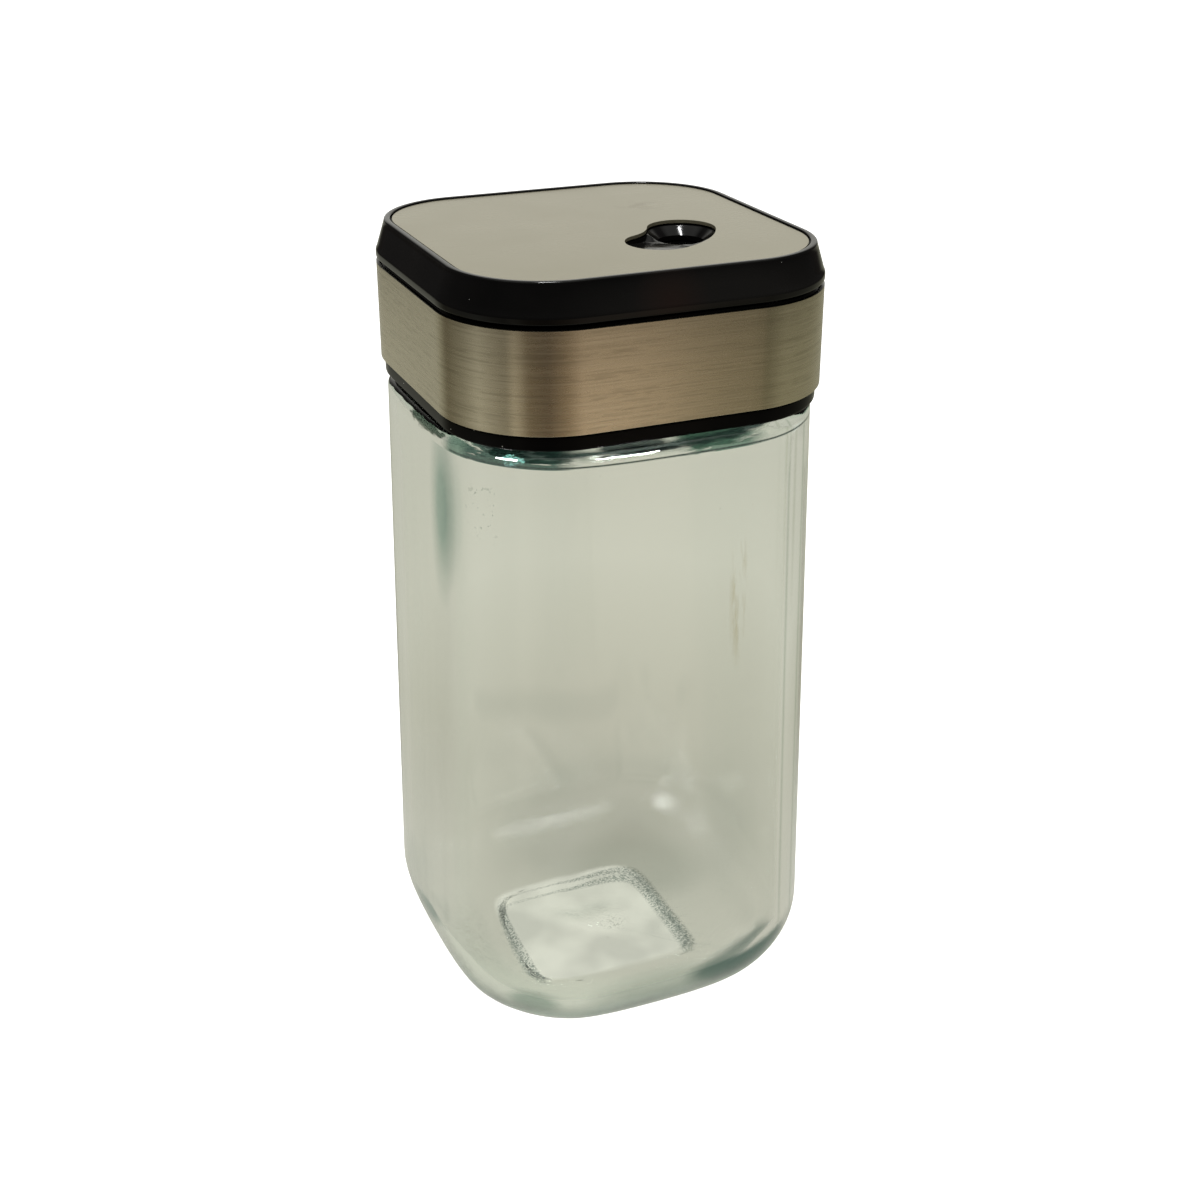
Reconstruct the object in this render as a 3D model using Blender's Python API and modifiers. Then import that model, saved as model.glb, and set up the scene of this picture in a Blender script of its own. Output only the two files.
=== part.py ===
"""Square glass salt shaker with a screw-on rotary lid.

Units are metres, +Z is up, and the origin is the centre of the jar's foot.
The lid (cap, steel band and sifter deck) unscrews from the jar about +Z, and the
square dial on top turns about the same axis over four stations of the deck.
"""

import math

import bmesh
import bpy

# General clearances
SEAT_GAP = 0.0003        # pieces that rest on or against each other
TURN_GAP = 0.0004        # pieces that turn past each other
CUT_OVERRUN = 0.001      # how far a cutter passes the face it opens

# Glass jar
JAR_HALF_FOOT = 0.0319           # half width where the walls would meet the ground
JAR_TAPER = 0.0016               # how much narrower each side is at the shoulder line
JAR_CORNER = 0.0165              # vertical corner radius
JAR_BOW = 0.0020                 # how far the sides bulge past the corners
JAR_SHOULDER_Z = 0.1045          # height of the shoulder line
JAR_WALL = 0.0030
JAR_FLOOR = 0.0058               # glass under the cavity
HEEL_RADIUS = 0.0170             # rounding from wall to foot
HEEL_RADIUS_INSIDE = 0.0140
FOOT_RING_WIDTH = 0.0024         # flat ring that the jar stands on
PUNT_DEPTH = 0.0012              # hollow inside the foot ring
FLOOR_PANEL_MARGIN = 0.0013      # from the inner heel's edge to the sunk panel
FLOOR_PANEL_DEPTH = 0.0005       # square panel sunk in the cavity's floor
FLOOR_PANEL_CORNER = 0.0040
SHOULDER_ROUND = 0.0021
SHOULDER_RISE = 0.0017
SHOULDER_DROP_INSIDE = 0.0015    # inner shoulder starts this far under the line
SHOULDER_GLASS = 0.0018          # glass between the shoulder's top and the bore's edge

# Threaded neck
NECK_RADIUS = 0.0228
NECK_WALL = 0.0026
NECK_HEIGHT = 0.0114             # above the shoulder's top
RIM_ROUND = 0.0006
THREAD_HEIGHT = 0.0012
THREAD_PITCH = 0.0042
THREAD_TURNS = 1.25
THREAD_WIDTH = 0.0020
THREAD_START = 0.0030            # above the shoulder's top

# Lid outline, shared by the cap, the band, the deck and the dial
LID_HALF = 0.0300
LID_CORNER = 0.0168
BAND_THICKNESS = 0.00045
BAND_HEIGHT = 0.01515
LIP_HEIGHT = 0.0025              # black lip under the band
LIP_INSET = 0.00047
LIP_EDGE = 0.0004

# Screw cap
CAP_SKIRT_WALL = 0.0012
CAP_TOP = 0.0015
CAP_SLEEVE_WALL = 0.0013
CAP_THREAD_PLAY = 0.0005         # between the neck's thread and the sleeve
CAP_MOUTH_STEP = 0.0007          # the cap's mouth is this much smaller than the neck's bore
GASKET_THICKNESS = 0.0014
GASKET_INSET = 0.0002

# Sifter deck
DECK_PLATE = 0.0016
DECK_WALL = 0.0012
DECK_RISE = 0.0001               # deck above the band's top edge
TURRET_RADIUS = 0.0250
TURRET_HEIGHT = 0.00304
TURRET_WALL = 0.0016
SPIGOT_WALL = 0.0012
STATION_RADIUS = 0.0130          # from the lid's axis to each station
STATION_ANGLE = -23.5            # the pouring station, in degrees from +X
POUR_HOLE = 0.0031
COARSE_HOLE = 0.0011
COARSE_RING = 0.0029
COARSE_COUNT = 5
FINE_HOLE = 0.0007
FINE_RING = 0.0030
FINE_COUNT = 6

# Dial
DIAL_GAP = 0.0006                # dark line between the band and the dial
DIAL_HEIGHT = 0.00579
DIAL_STRIP = 0.0012              # upright strip at the dial's bottom edge
DIAL_TAPER = 0.0016              # how far the sloped side leans in
BEAD_ROUND = 0.0004
BEAD_WIDTH = 0.0006
PLATE_THICKNESS = 0.0005
PLATE_DROP = 0.00023             # plate under the bead's top
PLATE_CORNER = 0.01326
DIAL_WALL = 0.0018
POST_RADIUS = 0.0030
SCREW_RADIUS = 0.0014
SCREW_HEAD = 0.0028
SCREW_HEAD_HEIGHT = 0.0014
SCREW_SLOT = 0.0006
WASHER_RADIUS = 0.0055
WASHER_THICKNESS = 0.0005
SCREW_DEPTH = 0.0030             # thread length in the post

# Kidney window in the plate, with the chute and funnel under it
WINDOW_HALF_WIDTH = 0.0052
WINDOW_END_ANGLE = -65.8         # centre of the shallow end
LEDGE = 0.00016                  # plastic showing inside the plate's window
FUNNEL_TOP = 0.00506
FUNNEL_BOTTOM = 0.0035
FUNNEL_DEPTH = 0.0012            # cone's height under the plate's seat
CHUTE_SHALLOW = 0.00012
CHUTE_DEEP = 0.0011

# Heights, from the foot up
SHOULDER_TOP = JAR_SHOULDER_Z + SHOULDER_RISE
LIP_BOTTOM = SHOULDER_TOP + SEAT_GAP
BAND_BOTTOM = LIP_BOTTOM + LIP_HEIGHT
BAND_TOP = BAND_BOTTOM + BAND_HEIGHT
RIM_Z = SHOULDER_TOP + NECK_HEIGHT
GASKET_BOTTOM = RIM_Z + SEAT_GAP
GASKET_TOP = GASKET_BOTTOM + GASKET_THICKNESS
CAP_TOP_UNDERSIDE = GASKET_TOP + SEAT_GAP
CAP_TOP_Z = CAP_TOP_UNDERSIDE + CAP_TOP
DECK_TOP = BAND_TOP + DECK_RISE
TURRET_TOP = DECK_TOP + TURRET_HEIGHT
TURRET_UNDERSIDE = TURRET_TOP - TURRET_WALL
DIAL_BOTTOM = BAND_TOP + DIAL_GAP
DIAL_TOP = DIAL_BOTTOM + DIAL_HEIGHT
PLATE_TOP = DIAL_TOP - PLATE_DROP
PLATE_BOTTOM = PLATE_TOP - PLATE_THICKNESS
PLATE_SEAT = PLATE_BOTTOM - SEAT_GAP
WEB_UNDERSIDE = TURRET_TOP + SEAT_GAP
POST_BOTTOM = TURRET_UNDERSIDE - SEAT_GAP
WASHER_TOP = POST_BOTTOM - SEAT_GAP
WASHER_BOTTOM = WASHER_TOP - WASHER_THICKNESS
SCREW_HEAD_TOP = WASHER_BOTTOM - SEAT_GAP
SCREW_TIP = POST_BOTTOM + SCREW_DEPTH - SEAT_GAP

# Widths worked out from the sizes above
JAR_HALF_SHOULDER = JAR_HALF_FOOT - JAR_TAPER
NECK_BORE = NECK_RADIUS - NECK_WALL
CAP_MOUTH = NECK_BORE - CAP_MOUTH_STEP
LIP_HALF = LID_HALF - LIP_INSET
SKIRT_HALF = LID_HALF - BAND_THICKNESS - SEAT_GAP
SKIRT_CORNER = LID_CORNER - BAND_THICKNESS - SEAT_GAP
BEAD_HALF = LID_HALF - DIAL_TAPER - BEAD_ROUND
PLATE_HALF = BEAD_HALF - BEAD_WIDTH - SEAT_GAP
SLEEVE_BORE = NECK_RADIUS + THREAD_HEIGHT + CAP_THREAD_PLAY
SPIGOT_RADIUS = CAP_MOUTH - SEAT_GAP

# Facets
SIDE_POINTS = 3
ARC_POINTS = 13
ROUND_SEGMENTS = 56
HOLE_SEGMENTS = 32
HEEL_STEPS = 7


def clear_scene():
    """Remove every object so that the script starts from nothing."""
    for item in list(bpy.data.objects):
        bpy.data.objects.remove(item, do_unlink=True)


def make_collection(name):
    """Make a collection under the scene's own."""
    collection = bpy.data.collections.new(name)
    bpy.context.scene.collection.children.link(collection)
    return collection


def make_material(name, color, roughness, metallic=0.0, transmission=0.0, ior=1.45):
    """Make a Principled material."""
    material = bpy.data.materials.new(name)
    material.use_nodes = True
    shader = material.node_tree.nodes["Principled BSDF"]
    shader.inputs["Base Color"].default_value = (*color, 1.0)
    shader.inputs["Roughness"].default_value = roughness
    shader.inputs["Metallic"].default_value = metallic
    shader.inputs["Transmission Weight"].default_value = transmission
    shader.inputs["IOR"].default_value = ior
    material.diffuse_color = (*color, 1.0)
    return material


def ray_angles():
    """Angles of the outline points, closer together round the corners."""
    centre = LID_HALF - LID_CORNER
    half_quadrant = []
    for index in range(SIDE_POINTS):
        offset = centre * index / SIDE_POINTS
        half_quadrant.append(math.atan2(offset, LID_HALF))
    arc_steps = ARC_POINTS // 2
    for index in range(arc_steps + 1):
        turn = math.radians(45.0) * index / arc_steps
        x = centre + LID_CORNER * math.cos(turn)
        y = centre + LID_CORNER * math.sin(turn)
        half_quadrant.append(math.atan2(y, x))
    mirrored = [math.radians(90.0) - angle for angle in reversed(half_quadrant[1:-1])]
    quadrant = half_quadrant + mirrored
    return [math.radians(90.0) * side + angle for side in range(4) for angle in quadrant]


ANGLES = ray_angles()


def outline(half, corner, z, bow=0.0):
    """Rounded square ring at height z; a corner equal to half gives a circle."""
    corner = min(corner, half)
    centre = half - corner
    points = []
    for angle in ANGLES:
        cosine = math.cos(angle)
        sine = math.sin(angle)
        long_side = max(abs(cosine), abs(sine))
        short_side = min(abs(cosine), abs(sine))
        reach = half / long_side
        if reach * short_side > centre:
            along = centre * (long_side + short_side)
            reach = along + math.sqrt(along * along - 2.0 * centre * centre + corner * corner)
        x = reach * cosine
        y = reach * sine
        bowed_x = x * (1.0 - bow / half * (y / half) ** 2)
        bowed_y = y * (1.0 - bow / half * (x / half) ** 2)
        points.append((bowed_x, bowed_y, z))
    return points


def circle(radius, z):
    """Round ring with the same point order as an outline."""
    return outline(radius, radius, z)


def loft(name, rings, closed=False):
    """Skin a row of rings; an open row is capped, a closed one joins its ends."""
    mesh = bpy.data.meshes.new(name)
    shape = bmesh.new()
    rows = [[shape.verts.new(point) for point in ring] for ring in rings]
    pairs = list(zip(rows, rows[1:]))
    if closed:
        pairs.append((rows[-1], rows[0]))
    for lower, upper in pairs:
        count = len(lower)
        for index in range(count):
            after = (index + 1) % count
            shape.faces.new((lower[index], lower[after], upper[after], upper[index]))
    if not closed:
        shape.faces.new(list(reversed(rows[0])))
        shape.faces.new(rows[-1])
    bmesh.ops.recalc_face_normals(shape, faces=shape.faces)
    shape.to_mesh(mesh)
    shape.free()
    mesh.shade_smooth()
    mesh.set_sharp_from_angle(angle=math.radians(35.0))
    return bpy.data.objects.new(name, mesh)


def cylinder(name, radius, bottom, top, top_radius=None, centre=(0.0, 0.0), segments=ROUND_SEGMENTS):
    """Cylinder or cone between two heights."""
    mesh = bpy.data.meshes.new(name)
    shape = bmesh.new()
    upper = radius if top_radius is None else top_radius
    bmesh.ops.create_cone(shape, cap_ends=True, segments=segments, radius1=radius,
                          radius2=upper, depth=top - bottom)
    bmesh.ops.translate(shape, verts=shape.verts, vec=(centre[0], centre[1], (bottom + top) / 2.0))
    shape.to_mesh(mesh)
    shape.free()
    mesh.shade_smooth()
    mesh.set_sharp_from_angle(angle=math.radians(35.0))
    return bpy.data.objects.new(name, mesh)


def turned(name, profile):
    """Turn a closed profile of (radius, z) points round the axis."""
    mesh = bpy.data.meshes.new(name)
    shape = bmesh.new()
    points = [shape.verts.new((radius, 0.0, z)) for radius, z in profile]
    for start, end in zip(points, points[1:] + points[:1]):
        shape.edges.new((start, end))
    shape.to_mesh(mesh)
    shape.free()
    item = bpy.data.objects.new(name, mesh)
    screw = item.modifiers.new("turn", "SCREW")
    screw.steps = ROUND_SEGMENTS
    screw.render_steps = ROUND_SEGMENTS
    screw.use_merge_vertices = True
    screw.merge_threshold = 0.00001
    return item


def finish(item, material, parts, parent):
    """Give a piece its material and its place in the collection and the tree."""
    item.data.materials.clear()
    item.data.materials.append(material)
    parts.objects.link(item)
    item.parent = parent
    return item


def join_or_cut(item, tool, operation, cutters):
    """Add a Boolean and put its tool away."""
    cutters.objects.link(tool)
    tool.hide_render = True
    tool.display_type = "WIRE"
    boolean = item.modifiers.new(tool.name, "BOOLEAN")
    boolean.operation = operation
    boolean.solver = "EXACT"
    boolean.object = tool


def cut(item, tool, cutters):
    """Cut a tool out of a piece."""
    join_or_cut(item, tool, "DIFFERENCE", cutters)


def join(item, tool, cutters):
    """Fuse a tool to a piece."""
    join_or_cut(item, tool, "UNION", cutters)


def quarter(count):
    """Angles of an even quarter turn, both ends included."""
    return [math.radians(90.0) * index / count for index in range(count + 1)]


def wall_half(z):
    """Half width of the jar's leaning wall at a height."""
    share = z / JAR_SHOULDER_Z
    return JAR_HALF_FOOT + (JAR_HALF_SHOULDER - JAR_HALF_FOOT) * share


def heel_rings(radius, floor, inset):
    """Rings of a rounded heel, from the floor up to the upright wall."""
    rings = []
    for angle in quarter(HEEL_STEPS):
        z = floor + radius * (1.0 - math.cos(angle))
        full = wall_half(z) - inset
        half = full - radius * (1.0 - math.sin(angle))
        corner = (JAR_CORNER - inset) * (0.5 + 0.5 * half / full)
        bow = JAR_BOW * half / full
        rings.append(outline(half, corner, z, bow))
    return rings


def foot_rings():
    """Rings of the hollow under the jar, ending at the flat foot ring."""
    ring_outside = wall_half(0.0) - HEEL_RADIUS
    ring_inside = ring_outside - FOOT_RING_WIDTH
    rings = []
    for angle in reversed(quarter(3)):
        half = ring_inside * (0.12 + 0.88 * math.cos(angle))
        z = PUNT_DEPTH * math.sin(angle)
        rings.append(outline(half, half * 0.7, z))
    return rings


def shoulder_rings():
    """Rings from the shoulder line up to the neck's root."""
    half = JAR_HALF_SHOULDER
    rings = []
    for angle in quarter(4):
        inward = SHOULDER_ROUND * (1.0 - math.cos(angle))
        z = JAR_SHOULDER_Z + SHOULDER_RISE * math.sin(angle)
        rings.append(outline(half - inward, JAR_CORNER - inward / 2.0, z, JAR_BOW))
    root = NECK_RADIUS + RIM_ROUND
    rings.append(circle(root, SHOULDER_TOP))
    return rings


def neck_rings():
    """Rings of the neck's outside, its rim and its bore."""
    rings = [circle(NECK_RADIUS, SHOULDER_TOP + RIM_ROUND)]
    for angle in quarter(2):
        inward = RIM_ROUND * (1.0 - math.cos(angle))
        rings.append(circle(NECK_RADIUS - inward, RIM_Z - RIM_ROUND * (1.0 - math.sin(angle))))
    for angle in reversed(quarter(2)):
        outward = RIM_ROUND * (1.0 - math.cos(angle))
        rings.append(circle(NECK_BORE + outward, RIM_Z - RIM_ROUND * (1.0 - math.sin(angle))))
    return rings


def cavity_rings():
    """Rings of the cavity, from the bore down to its floor."""
    shoulder_z = JAR_SHOULDER_Z - SHOULDER_DROP_INSIDE
    bore_end = SHOULDER_TOP - SHOULDER_GLASS
    rings = [circle(NECK_BORE, bore_end)]
    steps = 4
    for index in range(1, steps + 1):
        turn = math.radians(90.0) * index / steps
        z = shoulder_z + (bore_end - shoulder_z) * math.cos(turn)
        target = wall_half(z) - JAR_WALL
        half = NECK_BORE + (target - NECK_BORE) * math.sin(turn)
        corner = NECK_BORE + (JAR_CORNER - JAR_WALL - NECK_BORE) * math.sin(turn)
        rings.append(outline(half, corner, z, JAR_BOW * math.sin(turn)))
    rings.extend(reversed(heel_rings(HEEL_RADIUS_INSIDE, JAR_FLOOR, JAR_WALL)))
    panel = wall_half(JAR_FLOOR) - JAR_WALL - HEEL_RADIUS_INSIDE - FLOOR_PANEL_MARGIN
    rings.append(outline(panel, FLOOR_PANEL_CORNER, JAR_FLOOR))
    low_corner = FLOOR_PANEL_CORNER - FLOOR_PANEL_DEPTH
    rings.append(outline(panel - FLOOR_PANEL_DEPTH, low_corner, JAR_FLOOR - FLOOR_PANEL_DEPTH))
    return rings


def thread_ridge():
    """Helical ridge whose ends run out into the neck."""
    sections = 40
    root = NECK_RADIUS - 0.0004
    rings = []
    for index in range(sections + 1):
        share = index / sections
        turn = 2.0 * math.pi * THREAD_TURNS * share
        rise = THREAD_START + SHOULDER_TOP + THREAD_PITCH * THREAD_TURNS * share
        fade = min(1.0, 8.0 * share + 0.05, 8.0 * (1.0 - share) + 0.05)
        crest = NECK_RADIUS + THREAD_HEIGHT * fade - 0.0002 * (1.0 - fade)
        profile = [(root, -THREAD_WIDTH / 2.0), (crest, -THREAD_WIDTH / 5.0),
                   (crest, THREAD_WIDTH / 5.0), (root, THREAD_WIDTH / 2.0)]
        rings.append([(radius * math.cos(turn), radius * math.sin(turn), rise + z)
                      for radius, z in profile])
    return loft("neck_thread", rings)


def build_glass_jar(parts, cutters, parent, material):
    """Thick glass jar, skinned from the foot's hollow round to the cavity floor."""
    rings = foot_rings()
    rings.extend(heel_rings(HEEL_RADIUS, 0.0, 0.0))
    rings.extend(shoulder_rings())
    rings.extend(neck_rings())
    rings.extend(cavity_rings())
    jar = finish(loft("glass_jar", rings), material, parts, parent)
    join(jar, thread_ridge(), cutters)
    return jar


def build_neck_gasket(parts, parent, material):
    """Flat sealing ring between the jar's rim and the cap."""
    inner = NECK_BORE + GASKET_INSET
    outer = NECK_RADIUS - GASKET_INSET
    profile = [(outer, GASKET_TOP), (outer, GASKET_BOTTOM),
               (inner, GASKET_BOTTOM), (inner, GASKET_TOP)]
    return finish(turned("neck_gasket", profile), material, parts, parent)


def build_screw_cap(parts, cutters, parent, material):
    """Black cap: a square skirt outside and a round threaded sleeve inside."""
    lip_top = BAND_BOTTOM - SEAT_GAP
    rings = [
        outline(LIP_HALF - LIP_EDGE, LID_CORNER - LIP_EDGE, LIP_BOTTOM),
        outline(LIP_HALF, LID_CORNER, LIP_BOTTOM + LIP_EDGE),
        outline(LIP_HALF, LID_CORNER, lip_top),
        outline(SKIRT_HALF, SKIRT_CORNER, lip_top),
        outline(SKIRT_HALF, SKIRT_CORNER, CAP_TOP_Z),
    ]
    cap = finish(loft("screw_cap", rings), material, parts, parent)
    hollow_half = SKIRT_HALF - CAP_SKIRT_WALL
    hollow_corner = SKIRT_CORNER - CAP_SKIRT_WALL
    low = LIP_BOTTOM - CUT_OVERRUN
    hollow = loft("skirt_hollow", [outline(hollow_half, hollow_corner, low),
                                   outline(hollow_half, hollow_corner, CAP_TOP_UNDERSIDE)])
    cut(cap, hollow, cutters)
    sleeve_outside = SLEEVE_BORE + CAP_SLEEVE_WALL
    sleeve_low = LIP_BOTTOM + LIP_EDGE
    sleeve = turned("thread_sleeve", [
        (sleeve_outside, CAP_TOP_UNDERSIDE + CAP_TOP / 2.0), (sleeve_outside, sleeve_low),
        (SLEEVE_BORE, sleeve_low), (SLEEVE_BORE, CAP_TOP_UNDERSIDE + CAP_TOP / 2.0)])
    join(cap, sleeve, cutters)
    mouth = cylinder("cap_mouth", CAP_MOUTH, CAP_TOP_UNDERSIDE - CUT_OVERRUN,
                     CAP_TOP_Z + CUT_OVERRUN)
    cut(cap, mouth, cutters)
    return cap


def build_steel_band(parts, parent, material):
    """Thin steel band round the skirt, open at the top and the bottom."""
    edge = BAND_THICKNESS / 3.0
    inner_half = LID_HALF - BAND_THICKNESS
    inner_corner = LID_CORNER - BAND_THICKNESS
    rings = [
        outline(LID_HALF - edge, LID_CORNER - edge, BAND_BOTTOM),
        outline(LID_HALF, LID_CORNER, BAND_BOTTOM + edge),
        outline(LID_HALF, LID_CORNER, BAND_TOP - edge),
        outline(LID_HALF - edge, LID_CORNER - edge, BAND_TOP),
        outline(inner_half, inner_corner, BAND_TOP),
        outline(inner_half, inner_corner, BAND_BOTTOM),
    ]
    return finish(loft("steel_band", rings, closed=True), material, parts, parent)


def station_place(number, radius=0.0, turn=0.0):
    """Point at a deck station, or on a small circle round it."""
    angle = math.radians(STATION_ANGLE + 90.0 * number)
    x = STATION_RADIUS * math.cos(angle) + radius * math.cos(turn)
    y = STATION_RADIUS * math.sin(angle) + radius * math.sin(turn)
    return x, y


def cut_station(deck, number, name, hole, ring_radius, count, cutters):
    """Cut a middle hole and a ring of holes at a station."""
    places = [station_place(number)]
    for index in range(count):
        turn = 2.0 * math.pi * index / count
        places.append(station_place(number, ring_radius, turn))
    for index, place in enumerate(places):
        tool = cylinder(f"{name}_{index}", hole, TURRET_UNDERSIDE - CUT_OVERRUN,
                        TURRET_TOP + CUT_OVERRUN, centre=place, segments=HOLE_SEGMENTS // 2)
        cut(deck, tool, cutters)


def build_sifter_deck(parts, cutters, parent, material):
    """Fixed deck inside the band: square plate, round turret and four stations."""
    drop = DECK_TOP - CAP_TOP_Z - SEAT_GAP
    inner_half = SKIRT_HALF - DECK_WALL
    inner_corner = SKIRT_CORNER - DECK_WALL
    plate_low = DECK_TOP - DECK_PLATE
    turret_inside = TURRET_RADIUS - TURRET_WALL
    rings = [
        circle(turret_inside, TURRET_UNDERSIDE),
        circle(turret_inside, plate_low),
        outline(inner_half, inner_corner, plate_low),
        outline(inner_half, inner_corner, DECK_TOP - drop),
        outline(SKIRT_HALF, SKIRT_CORNER, DECK_TOP - drop),
        outline(SKIRT_HALF, SKIRT_CORNER, DECK_TOP),
        circle(TURRET_RADIUS, DECK_TOP),
        circle(TURRET_RADIUS, TURRET_TOP),
    ]
    deck = finish(loft("sifter_deck", rings), material, parts, parent)
    spigot = turned("spigot", [
        (SPIGOT_RADIUS, TURRET_UNDERSIDE + TURRET_WALL / 2.0),
        (SPIGOT_RADIUS, CAP_TOP_UNDERSIDE),
        (SPIGOT_RADIUS - SPIGOT_WALL, CAP_TOP_UNDERSIDE),
        (SPIGOT_RADIUS - SPIGOT_WALL, TURRET_UNDERSIDE + TURRET_WALL / 2.0)])
    join(deck, spigot, cutters)
    low = TURRET_UNDERSIDE - CUT_OVERRUN
    high = TURRET_TOP + CUT_OVERRUN
    cut(deck, cylinder("pivot_hole", POST_RADIUS + TURN_GAP, low, high,
                       segments=HOLE_SEGMENTS), cutters)
    cut(deck, cylinder("pour_hole", POUR_HOLE, low, high, centre=station_place(0),
                       segments=HOLE_SEGMENTS), cutters)
    cut_station(deck, 1, "coarse_hole", COARSE_HOLE, COARSE_RING, COARSE_COUNT, cutters)
    cut_station(deck, 2, "fine_hole", FINE_HOLE, FINE_RING, FINE_COUNT, cutters)
    return deck


def kidney(half_width, inset=0.0):
    """Outline of the kidney slot round the lid's axis, as (x, y) points."""
    width = half_width - inset
    deep = math.radians(STATION_ANGLE)
    shallow = math.radians(WINDOW_END_ANGLE)
    steps = 12
    points = []
    for index in range(steps + 1):
        turn = shallow + (deep - shallow) * index / steps
        radius = STATION_RADIUS + width
        points.append((radius * math.cos(turn), radius * math.sin(turn)))
    centre = (STATION_RADIUS * math.cos(deep), STATION_RADIUS * math.sin(deep))
    for index in range(1, steps):
        turn = deep + math.pi * index / steps
        points.append((centre[0] + width * math.cos(turn), centre[1] + width * math.sin(turn)))
    for index in range(steps + 1):
        turn = deep + (shallow - deep) * index / steps
        radius = STATION_RADIUS - width
        points.append((radius * math.cos(turn), radius * math.sin(turn)))
    centre = (STATION_RADIUS * math.cos(shallow), STATION_RADIUS * math.sin(shallow))
    for index in range(1, steps):
        turn = shallow + math.pi + math.pi * index / steps
        points.append((centre[0] + width * math.cos(turn), centre[1] + width * math.sin(turn)))
    return points


def chute_depth(x, y):
    """Depth of the chute under the plate's seat: shallow at one end, deep at the funnel."""
    angle = math.degrees(math.atan2(y, x))
    tip = WINDOW_END_ANGLE - math.degrees(WINDOW_HALF_WIDTH / STATION_RADIUS)
    share = (angle - tip) / (STATION_ANGLE - tip)
    share = max(0.0, min(1.0, share))
    return CHUTE_SHALLOW + (CHUTE_DEEP - CHUTE_SHALLOW) * share


def chute_cutter():
    """Kidney-shaped cutter whose floor slopes round the axis into the funnel."""
    points = kidney(WINDOW_HALF_WIDTH, LEDGE)
    inside = kidney(WINDOW_HALF_WIDTH, WINDOW_HALF_WIDTH / 2.0)
    floor_edge = [(x, y, PLATE_SEAT - chute_depth(x, y)) for x, y in points]
    floor_mid = [(x, y, PLATE_SEAT - chute_depth(x, y)) for x, y in inside]
    mouth = [(x, y, PLATE_SEAT + CUT_OVERRUN) for x, y in points]
    mesh = bpy.data.meshes.new("chute")
    shape = bmesh.new()
    rows = [[shape.verts.new(point) for point in ring] for ring in (floor_mid, floor_edge, mouth)]
    count = len(points)
    for lower, upper in zip(rows, rows[1:]):
        for index in range(count):
            after = (index + 1) % count
            shape.faces.new((lower[index], lower[after], upper[after], upper[index]))
    shape.faces.new(rows[-1])
    floor = bmesh.ops.contextual_create(shape, geom=rows[0])
    bmesh.ops.triangulate(shape, faces=floor["faces"], ngon_method="BEAUTY")
    bmesh.ops.recalc_face_normals(shape, faces=shape.faces)
    shape.to_mesh(mesh)
    shape.free()
    return bpy.data.objects.new("chute", mesh)


def build_dial(parts, cutters, parent, material):
    """Square dial with its raised bead, plate recess, chute and funnel."""
    strip_top = DIAL_BOTTOM + DIAL_STRIP
    slope_top = DIAL_TOP - BEAD_ROUND
    guide_radius = TURRET_RADIUS + TURN_GAP
    hollow_half = LID_HALF - DIAL_WALL
    rings = [
        outline(hollow_half, LID_CORNER - DIAL_WALL, WEB_UNDERSIDE),
        outline(hollow_half, LID_CORNER - DIAL_WALL, DIAL_BOTTOM),
        outline(LID_HALF - BEAD_ROUND, LID_CORNER - BEAD_ROUND, DIAL_BOTTOM),
        outline(LID_HALF, LID_CORNER, DIAL_BOTTOM + BEAD_ROUND),
        outline(LID_HALF, LID_CORNER, strip_top),
    ]
    slope_corner = PLATE_CORNER + SEAT_GAP + BEAD_WIDTH + BEAD_ROUND
    rings.append(outline(LID_HALF - DIAL_TAPER, slope_corner, slope_top))
    for angle in quarter(3)[1:]:
        inward = BEAD_ROUND * (1.0 - math.cos(angle))
        z = slope_top + BEAD_ROUND * math.sin(angle)
        rings.append(outline(LID_HALF - DIAL_TAPER - inward, slope_corner - inward, z))
    recess_half = PLATE_HALF + SEAT_GAP
    recess_corner = PLATE_CORNER + SEAT_GAP
    rings.append(outline(recess_half + BEAD_ROUND / 2.0, recess_corner + BEAD_ROUND / 2.0, DIAL_TOP))
    rings.append(outline(recess_half, recess_corner, DIAL_TOP - BEAD_ROUND / 2.0))
    rings.append(outline(recess_half, recess_corner, PLATE_SEAT))
    dial = finish(loft("dial", rings), material, parts, parent)
    web_middle = (WEB_UNDERSIDE + PLATE_SEAT) / 2.0
    guide = turned("guide_ring", [
        (guide_radius + DECK_WALL, web_middle), (guide_radius + DECK_WALL, DIAL_BOTTOM),
        (guide_radius, DIAL_BOTTOM), (guide_radius, web_middle)])
    join(dial, guide, cutters)
    join(dial, cylinder("post", POST_RADIUS, POST_BOTTOM, web_middle, segments=HOLE_SEGMENTS), cutters)
    cut(dial, chute_cutter(), cutters)
    station = station_place(0)
    funnel_low = PLATE_SEAT - FUNNEL_DEPTH
    slope = (FUNNEL_TOP - FUNNEL_BOTTOM) / FUNNEL_DEPTH
    funnel = cylinder("funnel", FUNNEL_BOTTOM, funnel_low, PLATE_SEAT + SEAT_GAP,
                      top_radius=FUNNEL_TOP + slope * SEAT_GAP, centre=station,
                      segments=HOLE_SEGMENTS)
    cut(dial, funnel, cutters)
    cut(dial, cylinder("funnel_bore", FUNNEL_BOTTOM, WEB_UNDERSIDE - CUT_OVERRUN,
                       funnel_low + SEAT_GAP, centre=station, segments=HOLE_SEGMENTS), cutters)
    cut(dial, cylinder("screw_bore", SCREW_RADIUS + SEAT_GAP, POST_BOTTOM - CUT_OVERRUN,
                       SCREW_TIP + SEAT_GAP, segments=HOLE_SEGMENTS), cutters)
    return dial


def flat_points(half, corner):
    """Rounded square as (x, y) points for a flat curve."""
    return [(x, y) for x, y, _ in outline(half, corner, 0.0)]


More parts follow.
